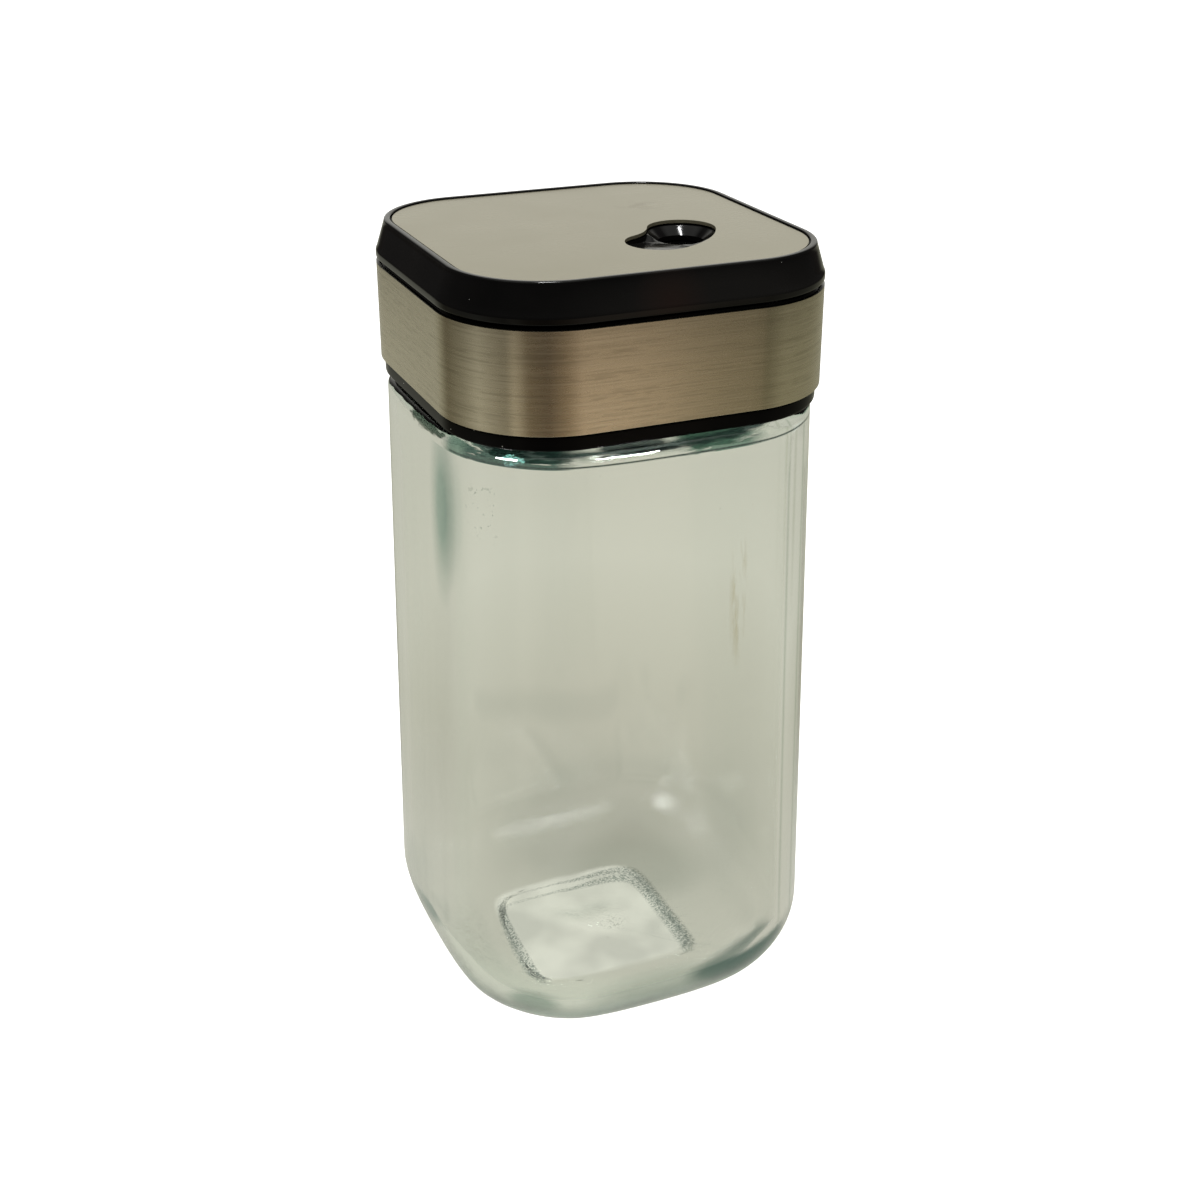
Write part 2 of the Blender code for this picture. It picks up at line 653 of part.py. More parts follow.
def build_dial_plate(parts, parent, material):
    """Steel plate with the kidney window, from a flat outline."""
    curve = bpy.data.curves.new("dial_plate_outline", "CURVE")
    curve.dimensions = "2D"
    curve.fill_mode = "BOTH"
    curve.extrude = PLATE_THICKNESS / 2.0
    for points in (flat_points(PLATE_HALF, PLATE_CORNER), kidney(WINDOW_HALF_WIDTH)):
        spline = curve.splines.new("POLY")
        spline.points.add(len(points) - 1)
        for slot, (x, y) in zip(spline.points, points):
            slot.co = (x, y, 0.0, 1.0)
        spline.use_cyclic_u = True
    guide = bpy.data.objects.new("dial_plate_outline", curve)
    parts.objects.link(guide)
    graph = bpy.context.evaluated_depsgraph_get()
    mesh = bpy.data.meshes.new_from_object(guide.evaluated_get(graph))
    bpy.data.objects.remove(guide, do_unlink=True)
    shape = bmesh.new()
    shape.from_mesh(mesh)
    bmesh.ops.remove_doubles(shape, verts=shape.verts, dist=0.000001)
    bmesh.ops.recalc_face_normals(shape, faces=shape.faces)
    shape.to_mesh(mesh)
    shape.free()
    plate = bpy.data.objects.new("dial_plate", mesh)
    finish(plate, material, parts, parent)
    plate.location = (0.0, 0.0, (PLATE_TOP + PLATE_BOTTOM) / 2.0)
    return plate


def build_pivot_washer(parts, parent, material):
    """Washer that holds the dial's post under the deck."""
    inner = SCREW_RADIUS + SEAT_GAP
    profile = [(WASHER_RADIUS, WASHER_TOP), (WASHER_RADIUS, WASHER_BOTTOM),
               (inner, WASHER_BOTTOM), (inner, WASHER_TOP)]
    return finish(turned("pivot_washer", profile), material, parts, parent)


def build_pivot_screw(parts, cutters, parent, material):
    """Cross-slotted screw, driven up into the dial's post."""
    head_bottom = SCREW_HEAD_TOP - SCREW_HEAD_HEIGHT
    screw = cylinder("pivot_screw", SCREW_HEAD * 0.8, head_bottom, SCREW_HEAD_TOP,
                     top_radius=SCREW_HEAD, segments=HOLE_SEGMENTS)
    finish(screw, material, parts, parent)
    shank = cylinder("screw_shank", SCREW_RADIUS, SCREW_HEAD_TOP - SCREW_HEAD_HEIGHT / 2.0,
                     SCREW_TIP, segments=HOLE_SEGMENTS)
    join(screw, shank, cutters)
    for number in range(2):
        mesh = bpy.data.meshes.new(f"slot_{number}")
        shape = bmesh.new()
        bmesh.ops.create_cube(shape, size=1.0)
        length = SCREW_HEAD
        sizes = (length, SCREW_SLOT, SCREW_HEAD_HEIGHT)
        if number == 1:
            sizes = (SCREW_SLOT, length, SCREW_HEAD_HEIGHT)
        bmesh.ops.scale(shape, verts=shape.verts, vec=sizes)
        bmesh.ops.translate(shape, verts=shape.verts, vec=(0.0, 0.0, head_bottom))
        shape.to_mesh(mesh)
        shape.free()
        cut(screw, bpy.data.objects.new(f"slot_{number}", mesh), cutters)
    return screw


def make_axis(name, parts, parent=None):
    """Empty on the lid's axis that carries the pieces which turn together."""
    axis = bpy.data.objects.new(name, None)
    axis.empty_display_size = LID_HALF
    parts.objects.link(axis)
    axis.parent = parent
    return axis


def main():
    """Build the shaker."""
    clear_scene()
    parts = make_collection("salt_shaker")
    cutters = make_collection("cutters")
    glass = make_material("glass", (0.90, 0.94, 0.90), 0.02, transmission=1.0, ior=1.5)
    gloss_black = make_material("gloss_black_plastic", (0.012, 0.012, 0.013), 0.12)
    steel_plate = make_material("brushed_steel_plate", (0.62, 0.60, 0.55), 0.32, metallic=1.0)
    steel_band = make_material("brushed_steel_band", (0.55, 0.52, 0.47), 0.28, metallic=1.0)
    plain_steel = make_material("plain_steel", (0.60, 0.60, 0.60), 0.25, metallic=1.0)
    silicone = make_material("silicone", (0.80, 0.80, 0.78), 0.6)
    jar_axis = make_axis("jar_axis", parts)
    seal_axis = make_axis("lid_lift_axis", parts, jar_axis)
    lid_axis = make_axis("lid_turn_axis", parts, seal_axis)
    dial_axis = make_axis("dial_turn_axis", parts, lid_axis)
    build_glass_jar(parts, cutters, jar_axis, glass)
    build_neck_gasket(parts, seal_axis, silicone)
    build_screw_cap(parts, cutters, lid_axis, gloss_black)
    build_steel_band(parts, lid_axis, steel_band)
    build_sifter_deck(parts, cutters, lid_axis, gloss_black)
    build_dial(parts, cutters, dial_axis, gloss_black)
    build_dial_plate(parts, dial_axis, steel_plate)
    build_pivot_washer(parts, dial_axis, plain_steel)
    build_pivot_screw(parts, cutters, dial_axis, plain_steel)


main()
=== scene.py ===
"""Looks for the square glass salt shaker: finishes, finer meshes, light and camera."""

import math

import bmesh
import bpy
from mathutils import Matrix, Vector


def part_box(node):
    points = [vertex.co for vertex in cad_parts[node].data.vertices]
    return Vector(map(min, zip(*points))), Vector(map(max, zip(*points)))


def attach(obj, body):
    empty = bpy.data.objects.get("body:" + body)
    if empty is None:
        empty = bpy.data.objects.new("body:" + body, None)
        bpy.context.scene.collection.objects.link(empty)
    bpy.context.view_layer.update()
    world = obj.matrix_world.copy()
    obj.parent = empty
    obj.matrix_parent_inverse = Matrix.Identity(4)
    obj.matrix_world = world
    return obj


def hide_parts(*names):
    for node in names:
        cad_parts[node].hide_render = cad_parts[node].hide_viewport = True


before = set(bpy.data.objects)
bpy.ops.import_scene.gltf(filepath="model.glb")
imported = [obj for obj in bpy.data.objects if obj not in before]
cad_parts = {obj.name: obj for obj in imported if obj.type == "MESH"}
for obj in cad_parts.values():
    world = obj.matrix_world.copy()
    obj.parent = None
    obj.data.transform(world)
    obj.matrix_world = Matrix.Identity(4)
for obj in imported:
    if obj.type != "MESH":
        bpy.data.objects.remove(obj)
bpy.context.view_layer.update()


def span(box):
    """Half width, bottom and top of a box."""
    low, high = box
    return high[0], low[2], high[2]


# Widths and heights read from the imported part, in metres
LID_HALF, BAND_BOTTOM, BAND_TOP = span(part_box("steel_band"))
LIP_HALF, LIP_BOTTOM, CAP_TOP_Z = span(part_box("screw_cap"))
SKIRT_HALF, DECK_BOTTOM, TURRET_TOP = span(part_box("sifter_deck"))
DIAL_BOTTOM, DIAL_TOP = span(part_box("dial"))[1:]
PLATE_HALF, PLATE_BOTTOM, PLATE_TOP = span(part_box("dial_plate"))
GASKET_BOTTOM, GASKET_TOP = span(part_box("neck_gasket"))[1:]
RIM_Z = span(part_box("glass_jar"))[2]
SCREW_TOP = span(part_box("pivot_screw"))[2]

# Sizes shared with the part's construction
SEAT_GAP = 0.0003
LID_CORNER = 0.0168
LIP_EDGE = 0.0005
BAND_THICKNESS = 0.00045
PLATE_CORNER = 0.01326
BEAD_WIDTH = 0.0006
BEAD_ROUND = 0.0004
DIAL_TAPER = 0.0016
DIAL_STRIP = 0.0012
DIAL_WALL = 0.0018
TURRET_RADIUS = 0.0250
TURRET_WALL = 0.0016
DECK_PLATE = 0.0016
DECK_WALL = 0.0012
DECK_EDGE = 0.0003
DECK_PROUD = 0.0001
STATION_RADIUS = 0.0130
STATION_ANGLE = -23.5
WINDOW_END_ANGLE = -65.8
WINDOW_HALF_WIDTH = 0.0052
LEDGE = 0.00016
FUNNEL_TOP = 0.00506
FUNNEL_BOTTOM = 0.0035
FUNNEL_DEPTH = 0.0012
CHUTE_SHALLOW = 0.00012
CHUTE_DEEP = 0.0011
FUNNEL_BLEND_START = 18.0
FUNNEL_BLEND = 9.0
POUR_HOLE = 0.0031
CAP_TOP = 0.0015
CAP_SKIRT_WALL = 0.0012
CAP_SLEEVE_WALL = 0.0013
CAP_MOUTH = 0.0195
THREAD_PLAY = 0.0005
SLEEVE_SHORTER = 0.0004
POST_RADIUS = 0.0030
SCREW_BORE = 0.0017
TURN_GAP = 0.0004

# Stations with small holes: number, hole's radius, radius of the ring of holes and their count
SIFTING_STATIONS = ((1, 0.0011, 0.0029, 5), (2, 0.0007, 0.0030, 6))

# How far a cutting tool runs past what it cuts
CUT_MARGIN = 0.001

# Glass jar
JAR_HALF_FOOT = 0.0319
JAR_HALF_SHOULDER = 0.0303
JAR_CORNER = 0.0165
JAR_BOW = 0.0020
JAR_SHOULDER_Z = 0.1045
JAR_WALL = 0.0030
HEEL_RADIUS = 0.0170
FOOT_RING_WIDTH = 0.0024
PUNT_DEPTH = 0.0012
FOOT_RIBS = 36

# Cavity's floor as the glass shows it: a shallow trough round a raised square
TROUGH_Z = 0.0040
TROUGH_RADIUS = 0.0124
PANEL_Z = 0.0042
PANEL_HALF = 0.0136
PANEL_SLOPE = 0.0014
PANEL_CENTRE = (-0.0013, 0.0)
PANEL_CORNER = 0.0040

# Shoulder, neck and thread
SHOULDER_ROUND = 0.0021
SHOULDER_RISE = 0.0017
SHOULDER_DROP_INSIDE = 0.0008
SHOULDER_GLASS = 0.0011
NECK_RADIUS = 0.0228
NECK_BORE = 0.0202
RIM_ROUND = 0.0006
THREAD_HEIGHT = 0.0012
THREAD_PITCH = 0.0042
THREAD_TURNS = 1.25
THREAD_WIDTH = 0.0020
THREAD_START = 0.0030

# Heights and a corner that follow from these
SHOULDER_TOP = JAR_SHOULDER_Z + SHOULDER_RISE
PLATE_SEAT = PLATE_BOTTOM - SEAT_GAP
WEB_UNDERSIDE = TURRET_TOP + SEAT_GAP
TURRET_UNDERSIDE = TURRET_TOP - TURRET_WALL
SKIRT_CORNER = LID_CORNER - BAND_THICKNESS - SEAT_GAP

# Neighbours on each side that smooth a ring's point: more on the jar's walls and cavity
SOFT_REACH = 6
FIRM_REACH = 3

# Camera: fitted to the photograph's edges
CAMERA_PLACE = Vector((-0.10213, -0.24219, 0.19145))
CAMERA_FORWARD = Vector((0.3541, 0.8332, -0.4247))
CAMERA_LENS = 52.43

# Single marks: tint, place, stretch of the distance along each axis, full within and gone from
EVEN = (1.0, 1.0, 1.0)
STREAK = ((0.25, 0.39, 0.35), (-0.0297, -0.0122, 0.0940), (1.0, 1.0, 0.27), 0.0014, 0.0046)
SMUDGE = ((0.70, 0.64, 0.50), (0.0107, -0.0305, 0.0805), (1.0, 1.0, 0.13), 0.0008, 0.0018)
SCUFFS = ((0.40, 0.46, 0.42), (-0.0265, -0.0215, 0.0965), EVEN, 0.0020, 0.0050)
# Leaf-shaped dark patch in the shoulder, a painted reflection of the black lid
LEAF_REFLECTION = ((0.02, 0.035, 0.025), (-0.0302, -0.0050, 0.1052), (0.3, 0.10, 1.0), 0.0006, 0.0009)
PANEL_SPECKS = ((0.45, 0.48, 0.44), (0.0028, -0.0009, 0.0042), (1.0, 1.2, 1.0), 0.0015, 0.0032)
STAIN = ((0.19, 0.165, 0.10), (0.0125, 0.0113, PLATE_TOP), EVEN, 0.0010, 0.0048)
# Painted sheens on the black plastic's front: reflections of the surroundings painted into its colour
PAINTED_SHEENS = (
    ((0.0055, 0.0052, 0.0048), (0.0060, -0.0292, 0.1262), (0.2, 1.0, 1.0), 0.0020, 0.0055),
    ((0.0085, 0.0056, 0.0046), (-0.0010, -0.0292, 0.1262), EVEN, 0.0010, 0.0060),
)

# Dark upright lines in the glass near its right edge: direction in degrees, lowest height and tint
EDGE_LINES = ((-45.5, 0.0, (0.42, 0.50, 0.42)), (-50.9, 0.07, (0.62, 0.66, 0.58)))
EDGE_LINE_WIDTH = 1.1
EDGE_LINE_FADE = 0.02

# Tints of the glass
CLEAR_TINTS = ((0.960, 0.972, 0.950), (0.975, 0.984, 0.966))
SWIRL_TINT = (0.95, 0.97, 0.94)
# Painted reflections of the black lid in the shoulder: its black slivers and its dark line
SLIVER_REFLECTION_TINT = (0.02, 0.03, 0.03)
SHOULDER_LINE_REFLECTION_TINT = (0.01, 0.02, 0.02)
# Painted shade along the edge of the cavity floor's raised square
PANEL_EDGE_SHADE = (0.11, 0.155, 0.145)
DUST_TINT = (0.55, 0.58, 0.52)
GLASS_DEPTH_TINT = (0.72, 0.86, 0.80)
GLASS_DEPTH_DENSITY = 32.0

# Tints of the shoulder's glass, by direction round the shaker in degrees from +X: clear, with the black lid's
# reflections painted in as dark teal and black bands
SHOULDER_REFLECTION_TINTS = (
    (-180, (0.93, 0.95, 0.92)),
    (-157, (0.93, 0.95, 0.92)),
    (-153, (0.10, 0.20, 0.16)),
    (-149, (0.10, 0.20, 0.16)),
    (-146, (0.015, 0.04, 0.035)),
    (-122, (0.03, 0.07, 0.06)),
    (-115, (0.85, 0.90, 0.86)),
    (-90, (0.85, 0.90, 0.86)),
    (-86, (0.08, 0.17, 0.13)),
    (-68, (0.10, 0.20, 0.16)),
    (-62, (0.85, 0.90, 0.86)),
    (180, (0.93, 0.95, 0.92)),
)
SHOULDER_TINT_LOW = JAR_SHOULDER_Z - 0.0008

# Painted black reflections of the lid as slivers in the shoulder's front: middle x and z, half length and
# half height
SHOULDER_REFLECTED_SLIVERS = (
    (-0.0045, 0.10522, 0.0078, 0.00026),
    (-0.0065, 0.10600, 0.0060, 0.00045),
)
SLIVERS_BEFORE_Y = -0.0240
SHOULDER_LINE_Z = 0.1040
SHOULDER_LINE_BEFORE_Y = -0.0150

# Tones of the steel, the silicone and the plastic
BAND_TONES = ((0.550, 0.495, 0.380), (0.725, 0.656, 0.518))
# Painted shade: the band's top rim darkened where it would mirror the black dial above it
BAND_RIM_SHADE = (0.03, 0.028, 0.022)
PLATE_TONES = ((0.250, 0.231, 0.156), (0.258, 0.237, 0.161))
PLATED_TONES = ((0.50, 0.50, 0.49), (0.64, 0.64, 0.62))
SILICONE_TONES = ((0.74, 0.74, 0.71), (0.83, 0.83, 0.80))
BLACK_TONES = ((0.0018, 0.0018, 0.0018), (0.0030, 0.0028, 0.0027))
WHITE_DUST = (0.30, 0.30, 0.28)

# Share of the plate's light that it mirrors; the rest is matt and keeps it light from behind
PLATE_MIRRORING = 0.7

# Table as the glass shows it, by distance from its darkest place as a share of the reach
DARKEST_PLACE = (0.022, 0.035, 0.0)
SHADE_REACH = 0.3
SHADE_UNDER_GLASS = (
    (0, (0.430, 0.415, 0.357)),
    (0.023, (0.445, 0.430, 0.367)),
    (0.043, (0.470, 0.452, 0.390)),
    (0.08, (0.470, 0.455, 0.390)),
    (0.10, (0.515, 0.495, 0.423)),
    (0.127, (0.545, 0.520, 0.445)),
    (0.20, (0.575, 0.548, 0.468)),
    (0.32, (0.625, 0.598, 0.515)),
    (0.45, (0.675, 0.650, 0.567)),
    (0.70, (0.640, 0.615, 0.535)),
    (1, (0.630, 0.605, 0.530)),
)
NEAR_TABLE = (0.63, 0.63, 0.53)

# Green shadows on the table seen through the heel's corners: x, y, reach and color
GREEN_SPOTS = (
    (0.004, -0.032, 0.0180, (0.42, 0.44, 0.36)),
    (-0.036, 0.036, 0.0160, (0.48, 0.47, 0.40)),
    (0.0155, 0.0180, 0.0150, (0.390, 0.383, 0.322)),
    (0.0150, -0.0265, 0.0080, (0.06, 0.11, 0.085)),
    (0.0205, -0.0238, 0.0090, (0.05, 0.10, 0.08)),
    (0.0265, -0.0208, 0.0090, (0.05, 0.10, 0.08)),
    (0.0320, -0.0175, 0.0070, (0.06, 0.11, 0.085)),
    (-0.0350, 0.0200, 0.0085, (0.15, 0.21, 0.17)),
    (-0.022, -0.021, 0.0075, (0.30, 0.35, 0.28)),
)

# Painted pool of light: bright square of table seen through the jar's floor
PAD_CENTRE = (-0.001, 0.004)
PAD_HALF = 0.0150
PAD_EDGE = 0.0006
PAD_LIGHT_TONES = ((0.82, 0.79, 0.705), (0.61, 0.59, 0.525))

# What the steel mirrors from the table, by direction round the shaker in degrees from +X
ROOM_TONES = (
    (-180, (0.54, 0.53, 0.44)),
    (-162, (0.38, 0.36, 0.285)),
    (-151, (0.29, 0.27, 0.205)),
    (-143, (0.54, 0.49, 0.38)),
    (-130, (0.195, 0.15, 0.09)),
    (-112, (0.125, 0.086, 0.048)),
    (-94, (0.33, 0.245, 0.155)),
    (-80, (0.60, 0.475, 0.345)),
    (-66.5, (0.65, 0.525, 0.385)),
    (-64.5, (0.33, 0.285, 0.195)),
    (-56, (0.185, 0.17, 0.105)),
    (-36, (0.32, 0.31, 0.22)),
    (0, (0.31, 0.305, 0.22)),
    (108, (0.45, 0.45, 0.37)),
    (122, (0.38, 0.375, 0.29)),
    (136, (0.165, 0.15, 0.10)),
    (162, (0.33, 0.32, 0.25)),
    (180, (0.54, 0.53, 0.44)),
)
FAR_TABLE_MIRRORED = (0.04, 0.035, 0.03)
NEAR_TABLE_MIRRORED = (0.62, 0.62, 0.55)

# Table as the camera sees it, as matt things are lit by it, and its own matt tone
TABLE_SEEN = (0.93, 0.93, 0.93)
TABLE_LIGHT = (0.5, 0.48, 0.43)
TABLE_MATT = (0.5, 0.5, 0.5)
BLACK = (0.0, 0.0, 0.0)

# Directions of the bright wall behind and of the dark corners seen through the glass
BRIGHT_WALL = (0.37, 0.88, 0.27)
DARK_CORNERS = ((-0.40, 0.87, 0.28), (0.64, 0.75, 0.20))
DIM_SKY = (0.055, 0.051, 0.048)
BRIGHT_WALL_TONE = (0.98, 0.97, 0.90)
CEILING_TONE = (1.0, 1.0, 0.95)
DARK_CORNER_TONE = (0.10, 0.15, 0.13)
SKY_THROUGH_GLASS = (
    (0, (0.74, 0.73, 0.66)),
    (0.5, (0.62, 0.62, 0.55)),
    (1, (0.72, 0.72, 0.66)),
)
SKY_LIGHT = ((0.0, (0.35, 0.34, 0.30)), (1.0, (0.95, 0.95, 0.92)))
WHITE = (1.0, 1.0, 1.0)


def ray_angles(side_points, arc_points):
    """Angles of the outline points, closer together round the corners."""
    centre = LID_HALF - LID_CORNER
    half_quadrant = []
    for index in range(side_points):
        half_quadrant.append(math.atan2(centre * index / side_points, LID_HALF))
    for index in range(arc_points + 1):
        turn = math.radians(45.0) * index / arc_points
        x = centre + LID_CORNER * math.cos(turn)
        y = centre + LID_CORNER * math.sin(turn)
        half_quadrant.append(math.atan2(y, x))
    mirrored = [math.radians(90.0) - angle for angle in reversed(half_quadrant[1:-1])]
    quadrant = half_quadrant + mirrored
    return [math.radians(90.0) * side + angle for side in range(4) for angle in quadrant]


ANGLES = ray_angles(8, 16)


def outline(half, corner, z, bow=0.0):
    """Rounded square ring at height z; a corner equal to half gives a circle."""
    corner = min(corner, half)
    centre = half - corner
    points = []
    for angle in ANGLES:
        cosine = math.cos(angle)
        sine = math.sin(angle)
        long_side = max(abs(cosine), abs(sine))
        short_side = min(abs(cosine), abs(sine))
        reach = half / long_side
        if reach * short_side > centre:
            along = centre * (long_side + short_side)
            reach = along + math.sqrt(along * along - 2.0 * centre * centre + corner * corner)
        x = reach * cosine
        y = reach * sine
        bowed_x = x * (1.0 - bow / half * (y / half) ** 2)
        bowed_y = y * (1.0 - bow / half * (x / half) ** 2)
        points.append((bowed_x, bowed_y, z))
    return points


def circle(radius, z):
    """Round ring with the same point order as an outline."""
    return outline(radius, radius, z)


def skirt_ring(z, inset=0.0):
    """Ring of the cap's skirt, or one that lies inside it."""
    return outline(SKIRT_HALF - inset, SKIRT_CORNER - inset, z)


def quarter(count):
    """Angles of an even quarter turn, both ends included."""
    return [math.radians(90.0) * index / count for index in range(count + 1)]


def rounded(half, corner, z, radius, steps, side=1.0, up=1.0):
    """Rings of an edge rounded off towards z, or flared out to it with side -1; up -1 is for a top edge."""
    rings = []
    for angle in quarter(steps):
        inset = side * radius * (1.0 - math.sin(angle))
        rings.append(outline(half - inset, corner - inset, z + up * radius * (1.0 - math.cos(angle))))
    return rings


def finished_mesh(name, shape):
    """Mesh of a finished shape."""
    mesh = bpy.data.meshes.new(name)
    shape.to_mesh(mesh)
    shape.free()
    return mesh


def smooth(mesh, angle=32.0):
    """Shade a mesh smooth except at its edges."""
    mesh.shade_smooth()
    mesh.set_sharp_from_angle(angle=math.radians(angle))
    return mesh


def in_scene(name, data):
    """New object in the scene."""
    item = bpy.data.objects.new(name, data)
    bpy.context.scene.collection.objects.link(item)
    return item


def loft(name, rings, closed=False, smooth_angle=32.0):
    """Skin a row of rings; an open row is capped, a closed one joins its ends."""
    shape = bmesh.new()
    rows = [[shape.verts.new(point) for point in ring] for ring in rings]
    pairs = list(zip(rows, rows[1:]))
    if closed:
        pairs.append((rows[-1], rows[0]))
    for lower, upper in pairs:
        count = len(lower)
        for index in range(count):
            after = (index + 1) % count
            shape.faces.new((lower[index], lower[after], upper[after], upper[index]))
    if not closed:
        shape.faces.new(list(reversed(rows[0])))
        shape.faces.new(rows[-1])
    bmesh.ops.recalc_face_normals(shape, faces=shape.faces)
    return in_scene(name, smooth(finished_mesh(name, shape), smooth_angle))


def cylinder(name, radius, bottom, top, top_radius=None, centre=(0.0, 0.0), segments=96):
    """Cylinder or cone between two heights."""
    shape = bmesh.new()
    upper = radius if top_radius is None else top_radius
    bmesh.ops.create_cone(shape, cap_ends=True, segments=segments, radius1=radius,
                          radius2=upper, depth=top - bottom)
    middle = (centre[0], centre[1], (bottom + top) / 2.0)
    bmesh.ops.translate(shape, verts=shape.verts, vec=middle)
    return in_scene(name, smooth(finished_mesh(name, shape)))


def tube(name, outer, inner, low, high):
    """Upright tube between two radii and two heights."""
    segments = 128
    rings = []
    for radius, z in ((outer, low), (outer, high), (inner, high), (inner, low)):
        ring = []
        for index in range(segments):
            turn = 2.0 * math.pi * index / segments
            ring.append((radius * math.cos(turn), radius * math.sin(turn), z))
        rings.append(ring)
    return loft(name, rings, closed=True)


def boolean(item, tool, operation="DIFFERENCE"):
    """Cut or join a tool and apply it."""
    modifier = item.modifiers.new(operation, "BOOLEAN")
    modifier.operation = operation
    modifier.solver = "EXACT"
    modifier.object = tool
    graph = bpy.context.evaluated_depsgraph_get()
    result = bpy.data.meshes.new_from_object(item.evaluated_get(graph))
    item.modifiers.clear()
    item.data = smooth(result)
    bpy.data.objects.remove(tool, do_unlink=True)


def soften(item, width, segments=2):
    """Round the sharp edges of a moulded or pressed piece."""
    bevel = item.modifiers.new("edge", "BEVEL")
    bevel.width = width
    bevel.segments = segments
    bevel.limit_method = "ANGLE"
    bevel.angle_limit = math.radians(40.0)
    bevel.harden_normals = True
    bevel.use_clamp_overlap = True


def place(item, body, node, slot, material):
    """Ride a piece on its body in place of its CAD node, with its finish."""
    item.data.materials.clear()
    item.data.materials.append(material)
    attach(item, body)
    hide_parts(node)
    return item


class Nodes:
    """Short names for building a node tree."""

    def __init__(self, tree, space="Object"):
        self.tree = tree
        self.coordinates = self.add("TexCoord").outputs[space]

    def feed(self, socket, value):
        """Give a socket a number, a vector, a colour or another socket."""
        if isinstance(value, bpy.types.NodeSocket):
            self.tree.links.new(value, socket)
        elif socket.type == "RGBA":
            socket.default_value = (*value, 1.0)
        else:
            socket.default_value = value

    def add(self, kind, inputs=None, **settings):
        """New shader node of a kind, with its inputs fed and its settings made."""
        node = self.tree.nodes.new("ShaderNode" + kind)
        for name, setting in settings.items():
            setattr(node, name, setting)
        for name, value in (inputs or {}).items():
            self.feed(node.inputs[name], value)
        return node

    def axis(self, name, vector=None):
        """X, Y or Z of the coordinates, or of another vector."""
        return self.add("SeparateXYZ", {0: self.coordinates if vector is None else vector}).outputs[name]

    def azimuth(self):
        """Angle round +Z as 0 to 1, from -X by way of -Y, +X and +Y."""
        inputs = {"Vector": self.coordinates}
        return self.add("TexGradient", inputs, gradient_type="RADIAL").outputs["Fac"]

    def stretched(self, scale):
        """Coordinates scaled along each axis."""
        return self.add("Mapping", {"Vector": self.coordinates, "Scale": scale}).outputs["Vector"]

    def noise(self, scale, detail=2.0, roughness=0.55, stretch=EVEN):
        """Noise value."""
        inputs = {"Vector": self.stretched(stretch), "Scale": scale, "Detail": detail, "Roughness": roughness}
        return self.add("TexNoise", inputs).outputs["Fac"]

    def streaky(self, stretch, detail=2.0, roughness=0.55):
        """Noise whose scale is given along each axis."""
        return self.noise(1.0, detail, roughness, stretch)

    def math(self, operation, first, second=0.0):
        """Arithmetic on two values, each a socket or a number."""
        return self.add("Math", {0: first, 1: second}, operation=operation).outputs[0]

    def times(self, *values):
        """Product of several values."""
        product = values[0]
        for value in values[1:]:
            product = self.math("MULTIPLY", product, value)
        return product

    def over(self, value, limit):
        """1 where a value is over a limit, else 0."""
        return self.math("GREATER_THAN", value, limit)

    def under(self, value, limit):
        """1 where a value is under a limit, else 0."""
        return self.math("LESS_THAN", value, limit)

    def off(self, value, middle):
        """How far a value is from a middle value."""
        return self.math("ABSOLUTE", self.math("SUBTRACT", value, middle))

    def spread(self, value, low, high, start=0.3, end=0.7):
        """Map a value from start..end to low..high."""
        inputs = {"Value": value, "From Min": start, "From Max": end, "To Min": low, "To Max": high}
        return self.add("MapRange", inputs).outputs["Result"]

    def rise(self, value, start=0.3, end=0.7):
        """0 up to start, rising to 1 at end."""
        return self.spread(value, 0.0, 1.0, start, end)

    def fall(self, value, start, end):
        """1 up to start, falling to 0 at end."""
        return self.spread(value, 1.0, 0.0, start, end)

    def distance(self, point=(0.0, 0.0, 0.0), stretch=EVEN):
        """Distance from a point, with each axis counted by its own stretch."""
        inputs = {0: self.stretched(stretch), 1: [place * scale for place, scale in zip(point, stretch)]}
        return self.add("VectorMath", inputs, operation="DISTANCE").outputs["Value"]

    def mark(self, point, stretch, near, far, ragged=None):
        """1 within near of a point, falling to 0 at far, with a ragged rim if given."""
        reach = self.distance(point, stretch)
        if ragged is not None:
            reach = self.math("ADD", reach, ragged)
        return self.fall(reach, near, far)

    def square_distance(self, centre=(0.0, 0.0)):
        """Half width of the round-cornered upright square that a point lies on."""
        squareness = 8.0
        unit = 0.01
        sides = []
        for name, middle in zip("XY", centre):
            side = self.times(self.off(self.axis(name), middle), 1.0 / unit)
            sides.append(self.math("POWER", side, squareness))
        return self.times(self.math("POWER", self.math("ADD", *sides), 1.0 / squareness), unit)

    def blend(self, value, first, second):
        """Mix two colours by a value."""
        return self.add("Mix", {0: value, 6: first, 7: second}, data_type="RGBA").outputs[2]

    def marked(self, tone, mark, *masks):
        """Tone with a single mark on it, where the masks let it show."""
        tint, *shape = mark
        return self.blend(self.times(self.mark(*shape), *masks), tone, tint)

    def ramp(self, value, stops):
        """Colours at rising positions from 0 to 1."""
        node = self.add("ValToRGB", {"Fac": value})
        elements = node.color_ramp.elements
        elements[0].position, elements[0].color = stops[0][0], (*stops[0][1], 1.0)
        elements[1].position, elements[1].color = stops[-1][0], (*stops[-1][1], 1.0)
        for position, color in stops[1:-1]:
            elements.new(position).color = (*color, 1.0)
        return node.outputs["Color"]

    def round_tones(self, tones):
        """Colours by direction round +Z, given in degrees from +X."""
        return self.ramp(self.azimuth(), [(degrees / 360.0 + 0.5, color) for degrees, color in tones])

    def seen_by(self, camera, through_glass, mirrored, otherwise):
        """Colour by who looks: the camera, a ray through glass, a mirrored ray or any other."""
        path = self.add("LightPath").outputs
        color = self.blend(path["Is Glossy Ray"], otherwise, mirrored)
        color = self.blend(path["Is Transmission Ray"], color, through_glass)
        return self.blend(path["Is Camera Ray"], color, camera)

